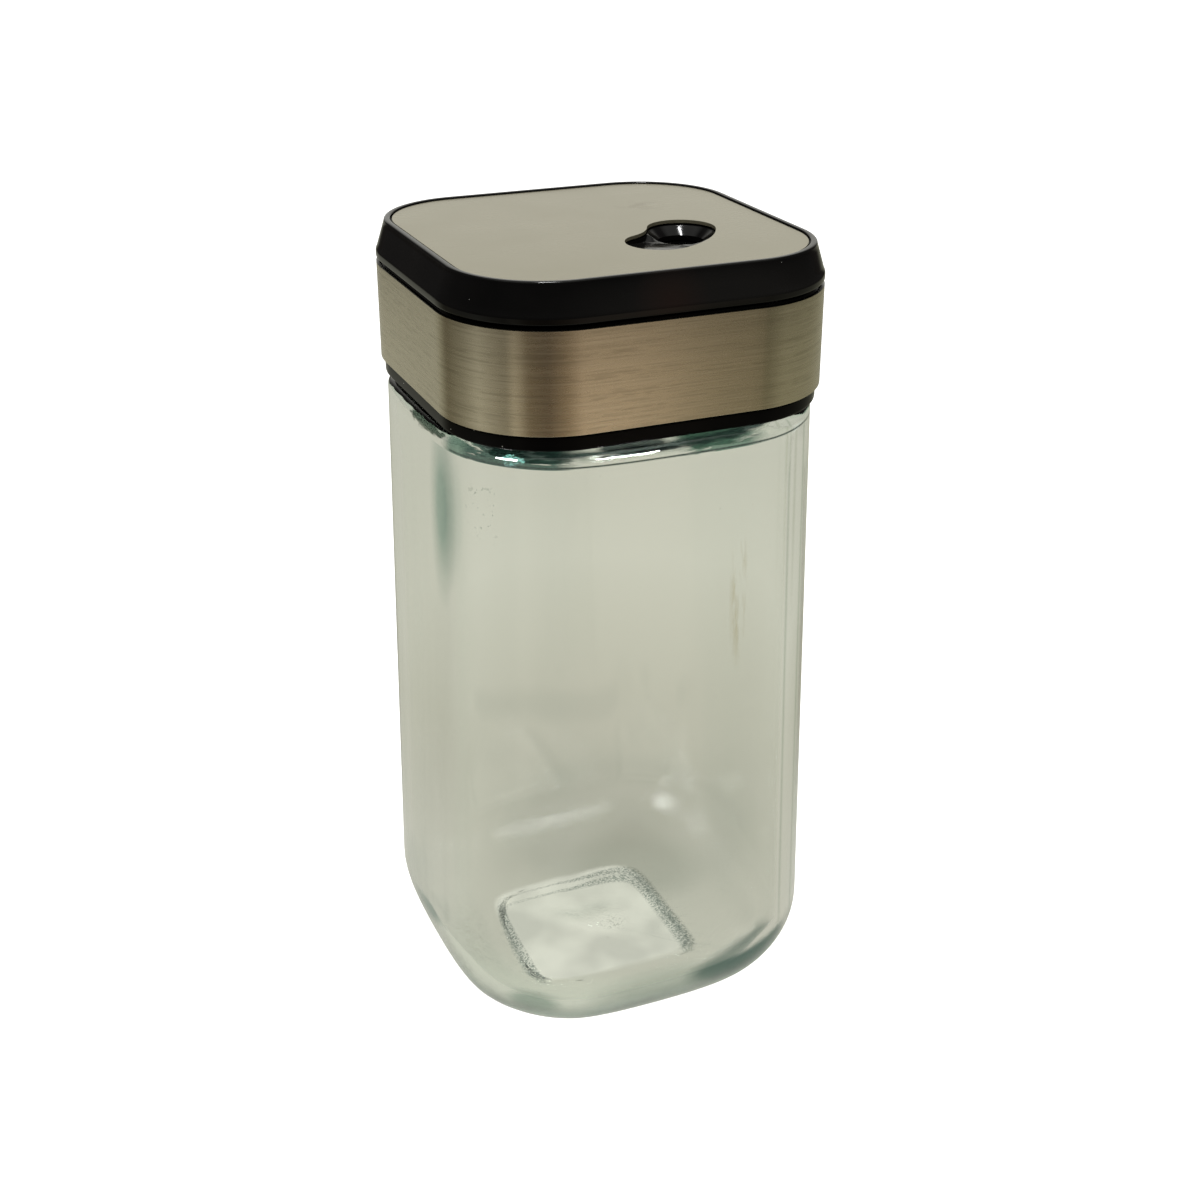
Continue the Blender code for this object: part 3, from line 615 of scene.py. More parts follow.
    def bump(self, height, strength, distance, under=None):
        """Bump from a height, on top of another bump if given."""
        inputs = {"Strength": strength, "Distance": distance, "Height": height}
        if under is not None:
            inputs["Normal"] = under
        return self.add("Bump", inputs).outputs["Normal"]


class Finish(Nodes):
    """Node tree of a new material, with its main shader at hand."""

    def __init__(self, name):
        self.material = bpy.data.materials.new(name)
        self.material.use_nodes = True
        super().__init__(self.material.node_tree)
        self.shader = self.tree.nodes["Principled BSDF"]
        self.output = self.tree.nodes["Material Output"]

    def set(self, name, value):
        """Feed a socket of the main shader."""
        self.feed(self.shader.inputs[name], value)

    def specks(self, scale, size, rarity):
        """Scattered dots: 1 inside a dot, 0 elsewhere."""
        cells = self.add("TexVoronoi", {"Vector": self.coordinates, "Scale": scale})
        dots = self.under(cells.outputs["Distance"], size)
        return self.times(dots, self.over(self.noise(scale * 0.37, 0.0), rarity))


def low_inside(glass):
    """1 on the upward faces of the cavity's floor and heel."""
    normal = glass.add("NewGeometry").outputs["Normal"]
    facing_up = glass.rise(glass.axis("Z", normal), 0.1, 0.3)
    return glass.times(facing_up, glass.fall(glass.axis("Z"), 0.014, 0.020))


def wall_tint(glass):
    """Clear glass with the streak, the upright lines and the smudge."""
    tint = glass.blend(glass.rise(glass.noise(30.0)), *CLEAR_TINTS)
    tint = glass.marked(tint, STREAK)
    for direction, lowest, color in EDGE_LINES:
        line = glass.fall(glass.off(glass.azimuth(), direction / 360.0 + 0.5), 0.0, EDGE_LINE_WIDTH / 360.0)
        line = glass.times(line, glass.rise(glass.axis("Z"), lowest, lowest + EDGE_LINE_FADE))
        tint = glass.blend(line, tint, color)
    smears = glass.rise(glass.streaky((700.0, 700.0, 130.0), 3.0), 0.48, 0.62)
    return glass.marked(tint, SMUDGE, smears)


def shoulder_reflections(glass, tint):
    """Painted reflections of the black lid in the shoulder: teal and black patches, the dark leaf, the
    slivers and the line.
    """
    swirls = glass.spread(glass.streaky((110.0, 110.0, 900.0), 3.0), 0.0, 0.85, 0.56, 0.62)
    patches = glass.blend(swirls, glass.round_tones(SHOULDER_REFLECTION_TINTS), SWIRL_TINT)
    height = glass.axis("Z")
    on_shoulder = glass.times(glass.over(height, SHOULDER_TINT_LOW), glass.under(height, SHOULDER_TOP))
    tint = glass.blend(on_shoulder, tint, patches)
    ragged = glass.spread(glass.streaky((260.0, 260.0, 900.0)), -0.0004, 0.0004)
    tint = glass.marked(tint, (*LEAF_REFLECTION, ragged))
    slightly_ragged = glass.times(ragged, 0.2)
    in_front = glass.under(glass.axis("Y"), SLIVERS_BEFORE_Y)
    for x, z, length, half in SHOULDER_REFLECTED_SLIVERS:
        reflected_sliver = (SLIVER_REFLECTION_TINT, (x, 0.0, z), (half / length, 0.0, 1.0), half * 0.7, half, slightly_ragged)
        tint = glass.marked(tint, reflected_sliver, in_front)
    line = glass.times(glass.fall(glass.off(height, SHOULDER_LINE_Z), 0.00008, 0.00022),
                       glass.under(glass.axis("Y"), SHOULDER_LINE_BEFORE_Y))
    return glass.blend(line, tint, SHOULDER_LINE_REFLECTION_TINT)


def floor_tint(glass, tint):
    """Painted shade along the raised square's edge, grainy, and the specks on it."""
    sideways = glass.axis("X")
    backward = glass.axis("Y")
    inside = low_inside(glass)
    grain = glass.noise(2700.0)
    from_edge = glass.off(glass.square_distance(PANEL_CENTRE), PANEL_HALF + PANEL_SLOPE / 2.0)
    wide_right = glass.spread(sideways, 0.0005, 0.0014, -0.002, 0.009)
    wide_left = glass.spread(sideways, 0.0006, 0.0, -0.0150, -0.0125)
    edge = glass.fall(glass.math("DIVIDE", from_edge, glass.math("ADD", wide_right, wide_left)), 0.5, 1.0)
    not_in_front = glass.rise(backward, -0.0132, -0.0118)
    fainter = glass.spread(sideways, 0.55, 0.0, -0.0090, 0.0010)
    fainter = glass.math("SUBTRACT", 1.0, glass.times(glass.rise(backward, 0.0115, 0.0130), fainter))
    edge = glass.times(edge, inside, not_in_front, glass.spread(grain, 0.15, 1.0, 0.42, 0.56), fainter)
    tint = glass.blend(edge, tint, PANEL_EDGE_SHADE)
    return glass.marked(tint, PANEL_SPECKS, inside, glass.rise(grain, 0.56, 0.62))


def glass_waves(glass):
    """Slow waves, pebbles in the heel, swirls under the lid and the foot ring's knurl."""
    height = glass.axis("Z")
    azimuth = glass.azimuth()
    foot = glass.square_distance()
    waves = glass.bump(glass.noise(50.0, stretch=(1.0, 1.0, 0.30)), 0.30, 0.0004)
    beside_panel = glass.spread(glass.square_distance(PANEL_CENTRE), 0.25, 1.0,
                                PANEL_HALF - 0.0005, PANEL_HALF + 0.0005)
    pebbles = glass.times(glass.noise(2100.0), low_inside(glass), beside_panel)
    waves = glass.bump(pebbles, 0.32, 0.0002, waves)
    under_lid = glass.times(glass.rise(height, 0.1015, 0.1035), glass.under(height, SHOULDER_TOP))
    in_front = glass.times(glass.rise(azimuth, 0.080, 0.110), glass.fall(azimuth, 0.320, 0.350))
    swirls = glass.times(glass.streaky((140.0, 140.0, 420.0)), under_lid, in_front)
    waves = glass.bump(swirls, 0.50, 0.0006, waves)
    ribs = glass.math("SINE", glass.times(azimuth, 2.0 * math.pi * FOOT_RIBS))
    foot_ring = glass.times(glass.rise(foot, 0.0140, 0.0146), glass.fall(foot, 0.0170, 0.0176))
    return glass.bump(glass.times(ribs, glass.fall(height, 0.0008, 0.0012), foot_ring), 0.08, 0.0003, waves)


def glass_material():
    """Pressed glass: clear, faintly green, wavy, with its marks and a little dust."""
    glass = Finish("pressed_glass")
    tint = floor_tint(glass, shoulder_reflections(glass, wall_tint(glass)))
    tint = glass.marked(tint, SCUFFS, glass.over(glass.noise(900.0), 0.66))
    glass.set("Base Color", glass.blend(glass.specks(330.0, 0.035, 0.66), tint, DUST_TINT))
    glass.set("Transmission Weight", 1.0)
    glass.set("IOR", 1.5)
    glass.set("Roughness", glass.spread(glass.noise(90.0, 3.0), 0.0, 0.03))
    glass.set("Normal", glass_waves(glass))
    depth = glass.add("VolumeAbsorption", {"Color": GLASS_DEPTH_TINT, "Density": GLASS_DEPTH_DENSITY})
    glass.feed(glass.output.inputs["Volume"], depth.outputs["Volume"])
    return glass.material


def black_material(name, ior):
    """Black moulding with two faint painted reflections as sheens, fine wear in its gloss and a little white
    dust.
    """
    black = Finish(name)
    cloud = black.blend(black.rise(black.noise(120.0, 3.0)), *BLACK_TONES)
    # Reflections painted into the colour as faint sheens
    for painted_sheen in PAINTED_SHEENS:
        cloud = black.marked(cloud, painted_sheen)
    black.set("Base Color", black.blend(black.specks(420.0, 0.045, 0.66), cloud, WHITE_DUST))
    black.set("Roughness", black.spread(black.noise(400.0, 5.0, stretch=(1.0, 1.0, 2.5)), 0.07, 0.15))
    black.set("Normal", black.bump(black.noise(700.0), 0.05, 0.00005))
    black.set("IOR", ior)
    return black.material


def band_material():
    """Steel brushed round the lid: long hairlines, short dashes and painted shade along its top rim."""
    steel = Finish("brushed_steel_band")
    steel.set("Metallic", 1.0)
    hairlines = steel.streaky((30.0, 30.0, 3600.0), 1.0, 0.5)
    patches = steel.streaky((300.0, 300.0, 1700.0), 2.0, 0.6)
    lines = steel.times(steel.spread(hairlines, -1.0, 1.0, 0.34, 0.66), steel.rise(patches, 0.38, 0.62))
    tone = steel.blend(steel.rise(lines, -0.8, 0.8), *BAND_TONES)
    # Painted shade: the top rim darkened as if it mirrored the black dial
    rim = steel.rise(steel.axis("Z"), BAND_TOP - 0.00012, BAND_TOP - 0.00006)
    steel.set("Base Color", steel.blend(rim, tone, BAND_RIM_SHADE))
    steel.set("Roughness", steel.spread(patches, 0.25, 0.30))
    steel.set("Anisotropic", 0.95)
    steel.set("Anisotropic Rotation", 0.25)
    steel.set("Tangent", steel.add("Tangent", direction_type="RADIAL", axis="Z").outputs["Tangent"])
    steel.set("Normal", steel.bump(hairlines, 0.02, 0.00001))
    return steel.material


def plate_material():
    """Steel plate with a very fine straight brushing and one faint brown stain."""
    steel = Finish("brushed_steel_plate")
    steel.set("Metallic", PLATE_MIRRORING)
    fine = steel.streaky((60.0, 9000.0, 60.0), 4.0, 0.7)
    tone = steel.blend(steel.rise(fine, 0.35, 0.65), *PLATE_TONES)
    drops = steel.rise(steel.noise(420.0), 0.40, 0.60)
    steel.set("Base Color", steel.marked(tone, STAIN, 0.95, drops))
    patches = steel.spread(steel.noise(70.0), -0.015, 0.015)
    steel.set("Roughness", steel.math("ADD", steel.spread(fine, 0.27, 0.30), patches))
    steel.set("Normal", steel.bump(fine, 0.01, 0.00001))
    return steel.material


def cloudy_material(name, scale, detail, tones, roughnesses, special):
    """Material whose tone and roughness follow one cloud, with one more socket set."""
    finish = Finish(name)
    cloud = finish.noise(scale, detail)
    finish.set("Base Color", finish.blend(finish.rise(cloud), *tones))
    finish.set("Roughness", finish.spread(cloud, *roughnesses))
    finish.set(*special)
    return finish.material


def gasket_material():
    """Milky silicone of the sealing ring."""
    return cloudy_material("milky_silicone", 300.0, 3.0, SILICONE_TONES, (0.50, 0.65),
                           ("Subsurface Weight", 0.15))


def plain_steel_material():
    """Bright plated steel of the screw and the washer."""
    return cloudy_material("plated_steel", 500.0, 4.0, PLATED_TONES, (0.18, 0.34), ("Metallic", 1.0))


def wall_half(z):
    """Half width of the jar's leaning wall at a height."""
    return JAR_HALF_FOOT + (JAR_HALF_SHOULDER - JAR_HALF_FOOT) * z / JAR_SHOULDER_Z


def heel_rings(radius, floor, inset, steps=18):
    """Rings of a rounded heel, from the floor up to the upright wall."""
    rings = []
    for angle in quarter(steps):
        z = floor + radius * (1.0 - math.cos(angle))
        full = wall_half(z) - inset
        half = full - radius * (1.0 - math.sin(angle))
        corner = (JAR_CORNER - inset) * (0.5 + 0.5 * half / full)
        rings.append(outline(half, corner, z, JAR_BOW * half / full))
    return rings


def wall_rings(low, high, inset, steps=10):
    """Rings of the leaning wall between two heights, both ends left out."""
    rings = []
    for index in range(1, steps):
        z = low + (high - low) * index / steps
        rings.append(outline(wall_half(z) - inset, JAR_CORNER - inset, z, JAR_BOW))
    return rings


def foot_rings():
    """Rings of the hollow under the jar, ending at the flat foot ring."""
    ring_inside = wall_half(0.0) - HEEL_RADIUS - FOOT_RING_WIDTH
    innermost = 0.05
    rings = []
    for angle in reversed(quarter(12)):
        share = innermost + (1.0 - innermost) * math.cos(angle)
        dome = 0.5 + 0.5 * math.cos(math.pi * share)
        rings.append(outline(ring_inside * share, ring_inside * share * 0.5, PUNT_DEPTH * dome))
    return rings


def shoulder_rings():
    """Rings from the shoulder line up to the neck's root."""
    rings = []
    for angle in quarter(10):
        inward = SHOULDER_ROUND * (1.0 - math.cos(angle))
        z = JAR_SHOULDER_Z + SHOULDER_RISE * math.sin(angle)
        rings.append(outline(JAR_HALF_SHOULDER - inward, JAR_CORNER - inward / 2.0, z, JAR_BOW))
    rings.append(circle(NECK_RADIUS + RIM_ROUND, SHOULDER_TOP))
    return rings


def neck_rings():
    """Rings of the neck's outside, its rim and its bore."""
    rings = rounded(NECK_RADIUS, NECK_RADIUS, SHOULDER_TOP, RIM_ROUND, 4, side=-1.0)[1:]
    rings.extend(reversed(rounded(NECK_RADIUS, NECK_RADIUS, RIM_Z, RIM_ROUND, 6, up=-1.0)))
    rings.extend(rounded(NECK_BORE, NECK_BORE, RIM_Z, RIM_ROUND, 6, side=-1.0, up=-1.0))
    return rings


def cavity_rings():
    """Rings of the cavity, from the bore down to its floor."""
    shoulder_z = JAR_SHOULDER_Z - SHOULDER_DROP_INSIDE
    bore_end = SHOULDER_TOP - SHOULDER_GLASS
    rings = [circle(NECK_BORE, bore_end)]
    for turn in quarter(14)[1:]:
        z = shoulder_z + (bore_end - shoulder_z) * math.cos(turn)
        target = wall_half(z) - JAR_WALL
        half = NECK_BORE + (target - NECK_BORE) * math.sin(turn)
        corner = NECK_BORE + (JAR_CORNER - JAR_WALL - NECK_BORE) * math.sin(turn)
        rings.append(outline(half, corner, z, JAR_BOW * math.sin(turn)))
    heel_top = TROUGH_Z + TROUGH_RADIUS
    rings.extend(reversed(wall_rings(heel_top, shoulder_z, JAR_WALL)))
    rings.extend(reversed(heel_rings(TROUGH_RADIUS, TROUGH_Z, JAR_WALL)))
    return rings


def panel_rings(steps=8):
    """Rings of the raised square on the cavity's floor."""
    rings = []
    for index in range(steps + 1):
        share = index / steps
        outward = PANEL_SLOPE * (1.0 - share)
        z = TROUGH_Z + (PANEL_Z - TROUGH_Z) * (0.5 - 0.5 * math.cos(math.pi * share))
        ring = outline(PANEL_HALF + outward, PANEL_CORNER + outward, z)
        rings.append([(x + PANEL_CENTRE[0], y + PANEL_CENTRE[1], z) for x, y, z in ring])
    return rings


def thread_ridge(sections=110, steps=8):
    """Helical ridge whose ends run out into the neck."""
    root = NECK_RADIUS - 0.0004
    sunk_end = 0.0002
    fullness = 0.6
    rings = []
    for index in range(sections + 1):
        share = index / sections
        turn = 2.0 * math.pi * THREAD_TURNS * share
        rise = THREAD_START + SHOULDER_TOP + THREAD_PITCH * THREAD_TURNS * share
        fade = min(1.0, 8.0 * share + 0.05, 8.0 * (1.0 - share) + 0.05)
        crest = NECK_RADIUS + THREAD_HEIGHT * fade - sunk_end * (1.0 - fade)
        ring = []
        for step in range(steps + 1):
            lean = math.radians(180.0) * step / steps
            radius = root + (crest - root) * math.sin(lean) ** fullness
            z = rise - THREAD_WIDTH / 2.0 * math.cos(lean)
            ring.append((radius * math.cos(turn), radius * math.sin(turn), z))
        rings.append(ring)
    return loft("neck_thread", rings)


def eased(rings, reach):
    """Rings whose corners run softly into their sides, as blown glass does."""
    softer = []
    for ring in rings:
        count = len(ring)
        points = []
        for index in range(count):
            near = [ring[(index + step) % count] for step in range(-reach, reach + 1)]
            points.append(tuple(sum(values) / len(near) for values in zip(*near)))
        softer.append(points)
    return softer


def build_jar(material):
    """The glass jar as one thick skin."""
    walls = heel_rings(HEEL_RADIUS, 0.0, 0.0)
    walls.extend(wall_rings(HEEL_RADIUS, JAR_SHOULDER_Z, 0.0))
    walls.extend(shoulder_rings())
    rings = []
    for run, reach in ((foot_rings(), FIRM_REACH), (walls, SOFT_REACH), (neck_rings(), FIRM_REACH),
                       (cavity_rings(), SOFT_REACH), (panel_rings(), FIRM_REACH)):
        rings.extend(eased(run, reach))
    jar = loft("jar_glass", rings, smooth_angle=50.0)
    boolean(jar, thread_ridge(), "UNION")
    return place(jar, "jar", "glass_jar", "glass", material)


def build_gasket(material):
    """Sealing ring with softened edges."""
    play = 0.0002
    ring = tube("gasket_ring", NECK_RADIUS - play, NECK_BORE + play, GASKET_BOTTOM, GASKET_TOP)
    soften(ring, 0.0002)
    return place(ring, "seal", "neck_gasket", "silicone", material)


def build_cap(material):
    """Black cap: lip, skirt and the sleeve round the neck."""
    lip_top = BAND_BOTTOM - SEAT_GAP
    broken = 0.0002
    rings = rounded(LIP_HALF, LID_CORNER, LIP_BOTTOM, LIP_EDGE, 6)
    rings.append(outline(LIP_HALF, LID_CORNER, lip_top - broken))
    rings.append(outline(LIP_HALF - broken, LID_CORNER - broken, lip_top))
    rings.extend([skirt_ring(lip_top), skirt_ring(CAP_TOP_Z)])
    cap = loft("cap_body", rings)
    under = CAP_TOP_Z - CAP_TOP
    hollow = [skirt_ring(z, CAP_SKIRT_WALL) for z in (LIP_BOTTOM - CUT_MARGIN, under)]
    boolean(cap, loft("hollow", hollow))
    bore = NECK_RADIUS + THREAD_HEIGHT + THREAD_PLAY
    sleeve_low = LIP_BOTTOM + SLEEVE_SHORTER
    sleeve = tube("sleeve", bore + CAP_SLEEVE_WALL, bore, sleeve_low, under + CAP_TOP / 2.0)
    boolean(cap, sleeve, "UNION")
    boolean(cap, cylinder("mouth", CAP_MOUTH, under - CUT_MARGIN, CAP_TOP_Z + CUT_MARGIN))
    return place(cap, "lid", "screw_cap", "gloss_black_plastic", material)


def build_band(material):
    """Steel band with rolled edges."""
    roll = BAND_THICKNESS / 5.0
    rings = rounded(LID_HALF, LID_CORNER, BAND_BOTTOM, roll, 5)
    rings.extend(reversed(rounded(LID_HALF, LID_CORNER, BAND_TOP, roll, 5, up=-1.0)))
    for z in (BAND_TOP, BAND_BOTTOM):
        rings.append(outline(LID_HALF - BAND_THICKNESS, LID_CORNER - BAND_THICKNESS, z))
    band = loft("band_ring", rings, closed=True)
    return place(band, "lid", "steel_band", "brushed_steel_band", material)


def station_place(number, radius=0.0, turn=0.0):
    """Point at a deck station, or on a small circle round it."""
    angle = math.radians(STATION_ANGLE + 90.0 * number)
    x = STATION_RADIUS * math.cos(angle) + radius * math.cos(turn)
    y = STATION_RADIUS * math.sin(angle) + radius * math.sin(turn)
    return x, y


def deck_holes():
    """Radius and centre of every hole in the turret."""
    holes = [(POST_RADIUS + TURN_GAP, (0.0, 0.0)), (POUR_HOLE, station_place(0))]
    for number, hole, ring, count in SIFTING_STATIONS:
        holes.append((hole, station_place(number)))
        for index in range(count):
            holes.append((hole, station_place(number, ring, 2.0 * math.pi * index / count)))
    return holes


def build_deck(material):
    """Fixed deck with its turret and the holes of its stations."""
    deck_top = BAND_TOP + DECK_PROUD
    under = CAP_TOP_Z + SEAT_GAP
    turret_inside = TURRET_RADIUS - TURRET_WALL
    rings = [
        circle(turret_inside, TURRET_UNDERSIDE),
        circle(turret_inside, deck_top - DECK_PLATE),
        skirt_ring(deck_top - DECK_PLATE, DECK_WALL),
        skirt_ring(under, DECK_WALL),
        skirt_ring(under),
        skirt_ring(deck_top - DECK_EDGE),
        skirt_ring(deck_top, DECK_EDGE),
        circle(TURRET_RADIUS, deck_top),
        circle(TURRET_RADIUS, TURRET_TOP - DECK_EDGE),
        circle(TURRET_RADIUS - DECK_EDGE, TURRET_TOP),
    ]
    deck = loft("deck_body", rings)
    spigot = CAP_MOUTH - SEAT_GAP
    spigot_top = TURRET_UNDERSIDE + TURRET_WALL / 2.0
    boolean(deck, tube("spigot", spigot, spigot - DECK_WALL, DECK_BOTTOM, spigot_top), "UNION")
    for radius, centre in deck_holes():
        tool = cylinder("hole", radius, TURRET_UNDERSIDE - CUT_MARGIN, TURRET_TOP + CUT_MARGIN,
                        centre=centre, segments=48)
        boolean(deck, tool)
    return place(deck, "lid", "sifter_deck", "gloss_black_plastic", material)


def kidney(inset=0.0, steps=32):
    """Outline of the kidney slot round the lid's axis, as (x, y) points."""
    width = WINDOW_HALF_WIDTH - inset
    deep = math.radians(STATION_ANGLE)
    shallow = math.radians(WINDOW_END_ANGLE)
    points = []
    for radius, first, last, end, turn_first in (
            (STATION_RADIUS + width, shallow, deep, deep, deep),
            (STATION_RADIUS - width, deep, shallow, shallow, shallow + math.pi)):
        for index in range(steps + 1):
            turn = first + (last - first) * index / steps
            points.append((radius * math.cos(turn), radius * math.sin(turn)))
        middle = (STATION_RADIUS * math.cos(end), STATION_RADIUS * math.sin(end))
        for index in range(1, steps):
            turn = turn_first + math.pi * index / steps
            points.append((middle[0] + width * math.cos(turn), middle[1] + width * math.sin(turn)))
    return points


def chute_depth(x, y):
    """Depth of the chute under the plate's seat, running down to the funnel and round its cone."""
    lift = 0.00006
    angle = math.degrees(math.atan2(y, x))
    tip = WINDOW_END_ANGLE - math.degrees(WINDOW_HALF_WIDTH / STATION_RADIUS)
    share = max(0.0, min(1.0, (angle - tip) / (STATION_ANGLE - tip)))
    depth = CHUTE_SHALLOW + (CHUTE_DEEP - CHUTE_SHALLOW) * share
    from_middle = math.dist((x, y), station_place(0))
    cone = FUNNEL_DEPTH * (FUNNEL_TOP - from_middle) / (FUNNEL_TOP - FUNNEL_BOTTOM) - lift
    in_funnel = max(0.0, min(1.0, (angle - STATION_ANGLE + FUNNEL_BLEND_START) / FUNNEL_BLEND))
    return depth + in_funnel * (max(CHUTE_SHALLOW, min(depth, cone)) - depth)


def chute_ring(inset, raised=0.0):
    """Kidney ring that lies on the chute's floor, or a little over it."""
    return [(x, y, PLATE_SEAT - chute_depth(x, y) + raised) for x, y in kidney(inset)]


def chute_cutter():
    """Kidney-shaped cutter whose floor slopes round the axis into the funnel."""
    rings = [chute_ring(WINDOW_HALF_WIDTH * share) for share in (0.85, 0.6, 0.35, 0.25, 0.15)]
    rings.append(chute_ring(LEDGE + 0.0002))
    rings.append(chute_ring(LEDGE, raised=0.0001))
    rings.append([(x, y, PLATE_SEAT + CUT_MARGIN) for x, y in kidney(LEDGE)])
    return loft("chute", rings)


def dial_rings():
    """Rings of the dial's outside, from its hollow round the bead to the plate's seat."""
    strip_top = DIAL_BOTTOM + DIAL_STRIP
    slope_top = DIAL_TOP - BEAD_ROUND
    slope_half = LID_HALF - DIAL_TAPER
    slope_corner = PLATE_CORNER + SEAT_GAP + BEAD_WIDTH + BEAD_ROUND
    step = 0.0003
    step_inset = 0.00015
    rings = [outline(LID_HALF - DIAL_WALL, LID_CORNER - DIAL_WALL, z) for z in (WEB_UNDERSIDE, DIAL_BOTTOM)]
    rings.extend(rounded(LID_HALF, LID_CORNER, DIAL_BOTTOM, BEAD_ROUND, 6))
    for index in range(5):
        share = index / 4
        inset = step_inset * share * share
        rings.append(outline(LID_HALF - inset, LID_CORNER, strip_top - step + 2.0 * step * share))
    for index in range(1, 7):
        share = index / 6
        half = LID_HALF + (slope_half - LID_HALF) * share
        corner = LID_CORNER + (slope_corner - LID_CORNER) * share
        z = strip_top + step + (slope_top - strip_top - step) * share
        rings.append(outline(half - step_inset * (1.0 - share), corner, z))
    bead = rounded(slope_half, slope_corner, DIAL_TOP, BEAD_ROUND, 8, up=-1.0)
    rings.extend(reversed(bead[:-1]))
    recess_half = PLATE_HALF + SEAT_GAP
    recess_corner = PLATE_CORNER + SEAT_GAP
    rings.extend(rounded(recess_half, recess_corner, DIAL_TOP, BEAD_ROUND / 2.0, 4, side=-1.0, up=-1.0))
    rings.append(outline(recess_half, recess_corner, PLATE_SEAT))
    return rings


def build_dial(material):
    """Black dial: bead, recess, chute, funnel and post."""
    dial = loft("dial_body", dial_rings(), smooth_angle=40.0)
    middle = (WEB_UNDERSIDE + PLATE_SEAT) / 2.0
    guide = TURRET_RADIUS + TURN_GAP
    boolean(dial, tube("guide", guide + DECK_WALL, guide, DIAL_BOTTOM, middle), "UNION")
    post_bottom = TURRET_UNDERSIDE - SEAT_GAP
    boolean(dial, cylinder("post", POST_RADIUS, post_bottom, middle, segments=64), "UNION")
    boolean(dial, chute_cutter())
    station = station_place(0)
    funnel_low = PLATE_SEAT - FUNNEL_DEPTH
    slope = (FUNNEL_TOP - FUNNEL_BOTTOM) / FUNNEL_DEPTH
    overlap = 0.0003
    boolean(dial, cylinder("funnel", FUNNEL_BOTTOM, funnel_low, PLATE_SEAT + overlap,
                           top_radius=FUNNEL_TOP + slope * overlap, centre=station))
    boolean(dial, cylinder("bore", FUNNEL_BOTTOM, WEB_UNDERSIDE - CUT_MARGIN, funnel_low + overlap,
                           centre=station))
    boolean(dial, cylinder("screw_bore", SCREW_BORE, post_bottom - CUT_MARGIN, SCREW_TOP + overlap,
                           segments=48))
    return place(dial, "dial", "dial", "gloss_black_plastic", material)


def flat_sheet(name, outlines, thickness):
    """Mesh of a flat sheet with the first outline as its rim and the others as holes."""
    curve = bpy.data.curves.new(name, "CURVE")
    curve.dimensions = "2D"
    curve.fill_mode = "BOTH"
    curve.extrude = thickness / 2.0
    for points in outlines:
        spline = curve.splines.new("POLY")
        spline.points.add(len(points) - 1)
        for point, (x, y) in zip(spline.points, points):
            point.co = (x, y, 0.0, 1.0)
        spline.use_cyclic_u = True
    guide = in_scene(name, curve)
    graph = bpy.context.evaluated_depsgraph_get()
    mesh = bpy.data.meshes.new_from_object(guide.evaluated_get(graph))
    bpy.data.objects.remove(guide, do_unlink=True)
    return mesh


def build_plate(material):
    """Steel plate with the kidney window; its edges are just broken."""
    rim = [(x, y) for x, y, _ in outline(PLATE_HALF, PLATE_CORNER, 0.0)]
    sheet = flat_sheet("plate_outline", (rim, kidney()), PLATE_TOP - PLATE_BOTTOM)
    shape = bmesh.new()
    shape.from_mesh(sheet)
    bmesh.ops.remove_doubles(shape, verts=shape.verts, dist=0.000001)
    bmesh.ops.translate(shape, verts=shape.verts, vec=(0.0, 0.0, (PLATE_TOP + PLATE_BOTTOM) / 2.0))
    bmesh.ops.recalc_face_normals(shape, faces=shape.faces)
    plate = in_scene("plate_sheet", smooth(finished_mesh("plate_sheet", shape)))
    soften(plate, 0.00006, segments=1)
    return place(plate, "dial", "dial_plate", "brushed_steel_plate", material)


def dress_hidden_steel(material):
    """Screw and washer keep their CAD shape and get plated steel."""
    for name in ("pivot_screw", "pivot_washer"):
        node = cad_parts[name]
        node.data.materials.clear()
        node.data.materials.append(material)


def mirrored_table(pale):
    """Table as steel mirrors it: the room's tones, dark far off and pale close to the jar."""
    from_jar = pale.distance()
    tone = pale.blend(pale.rise(from_jar, 0.70, 1.30), pale.round_tones(ROOM_TONES), FAR_TABLE_MIRRORED)
    return pale.blend(pale.fall(from_jar, 0.06, 0.12), tone, NEAR_TABLE_MIRRORED)


def table_through_glass(pale):
    """Table as the glass shows it: its shade, the green shadows and the bright square's painted pool of
    light.
    """
    tone = pale.ramp(pale.rise(pale.distance(DARKEST_PLACE), 0.0, SHADE_REACH), SHADE_UNDER_GLASS)
    nearer = pale.math("ADD", pale.axis("X"), pale.axis("Y"))
    tone = pale.blend(pale.fall(nearer, -0.032, -0.014), tone, NEAR_TABLE)
    for x, y, reach, color in GREEN_SPOTS:
        tone = pale.marked(tone, (color, (x, y, 0.0), EVEN, reach * 0.5, reach))
    # Painted pool of light on the bright square
    pad = pale.blend(pale.rise(pale.noise(70.0), 0.42, 0.62), *PAD_LIGHT_TONES)
    on_pad = pale.fall(pale.square_distance(PAD_CENTRE), PAD_HALF - PAD_EDGE, PAD_HALF + PAD_EDGE)
    return pale.blend(on_pad, tone, pad)


def make_floor():
    """Pale floor that runs out of sight, with the table's tones in what mirrors it."""
    shape = bmesh.new()
    bmesh.ops.create_grid(shape, x_segments=1, y_segments=1, size=6.0)
    floor = in_scene("floor", finished_mesh("floor", shape))
    floor.location = (0.0, 0.0, -0.00002)
    pale = Finish("pale_floor")
    pale.set("Roughness", 0.9)
    pale.set("Specular IOR Level", 0.0)
    pale.set("Emission Strength", 1.0)
    glow = pale.seen_by(TABLE_SEEN, table_through_glass(pale), mirrored_table(pale), TABLE_LIGHT)
    pale.set("Emission Color", glow)
    pale.set("Base Color", pale.seen_by(TABLE_MATT, BLACK, BLACK, BLACK))
    floor.data.materials.append(pale.material)


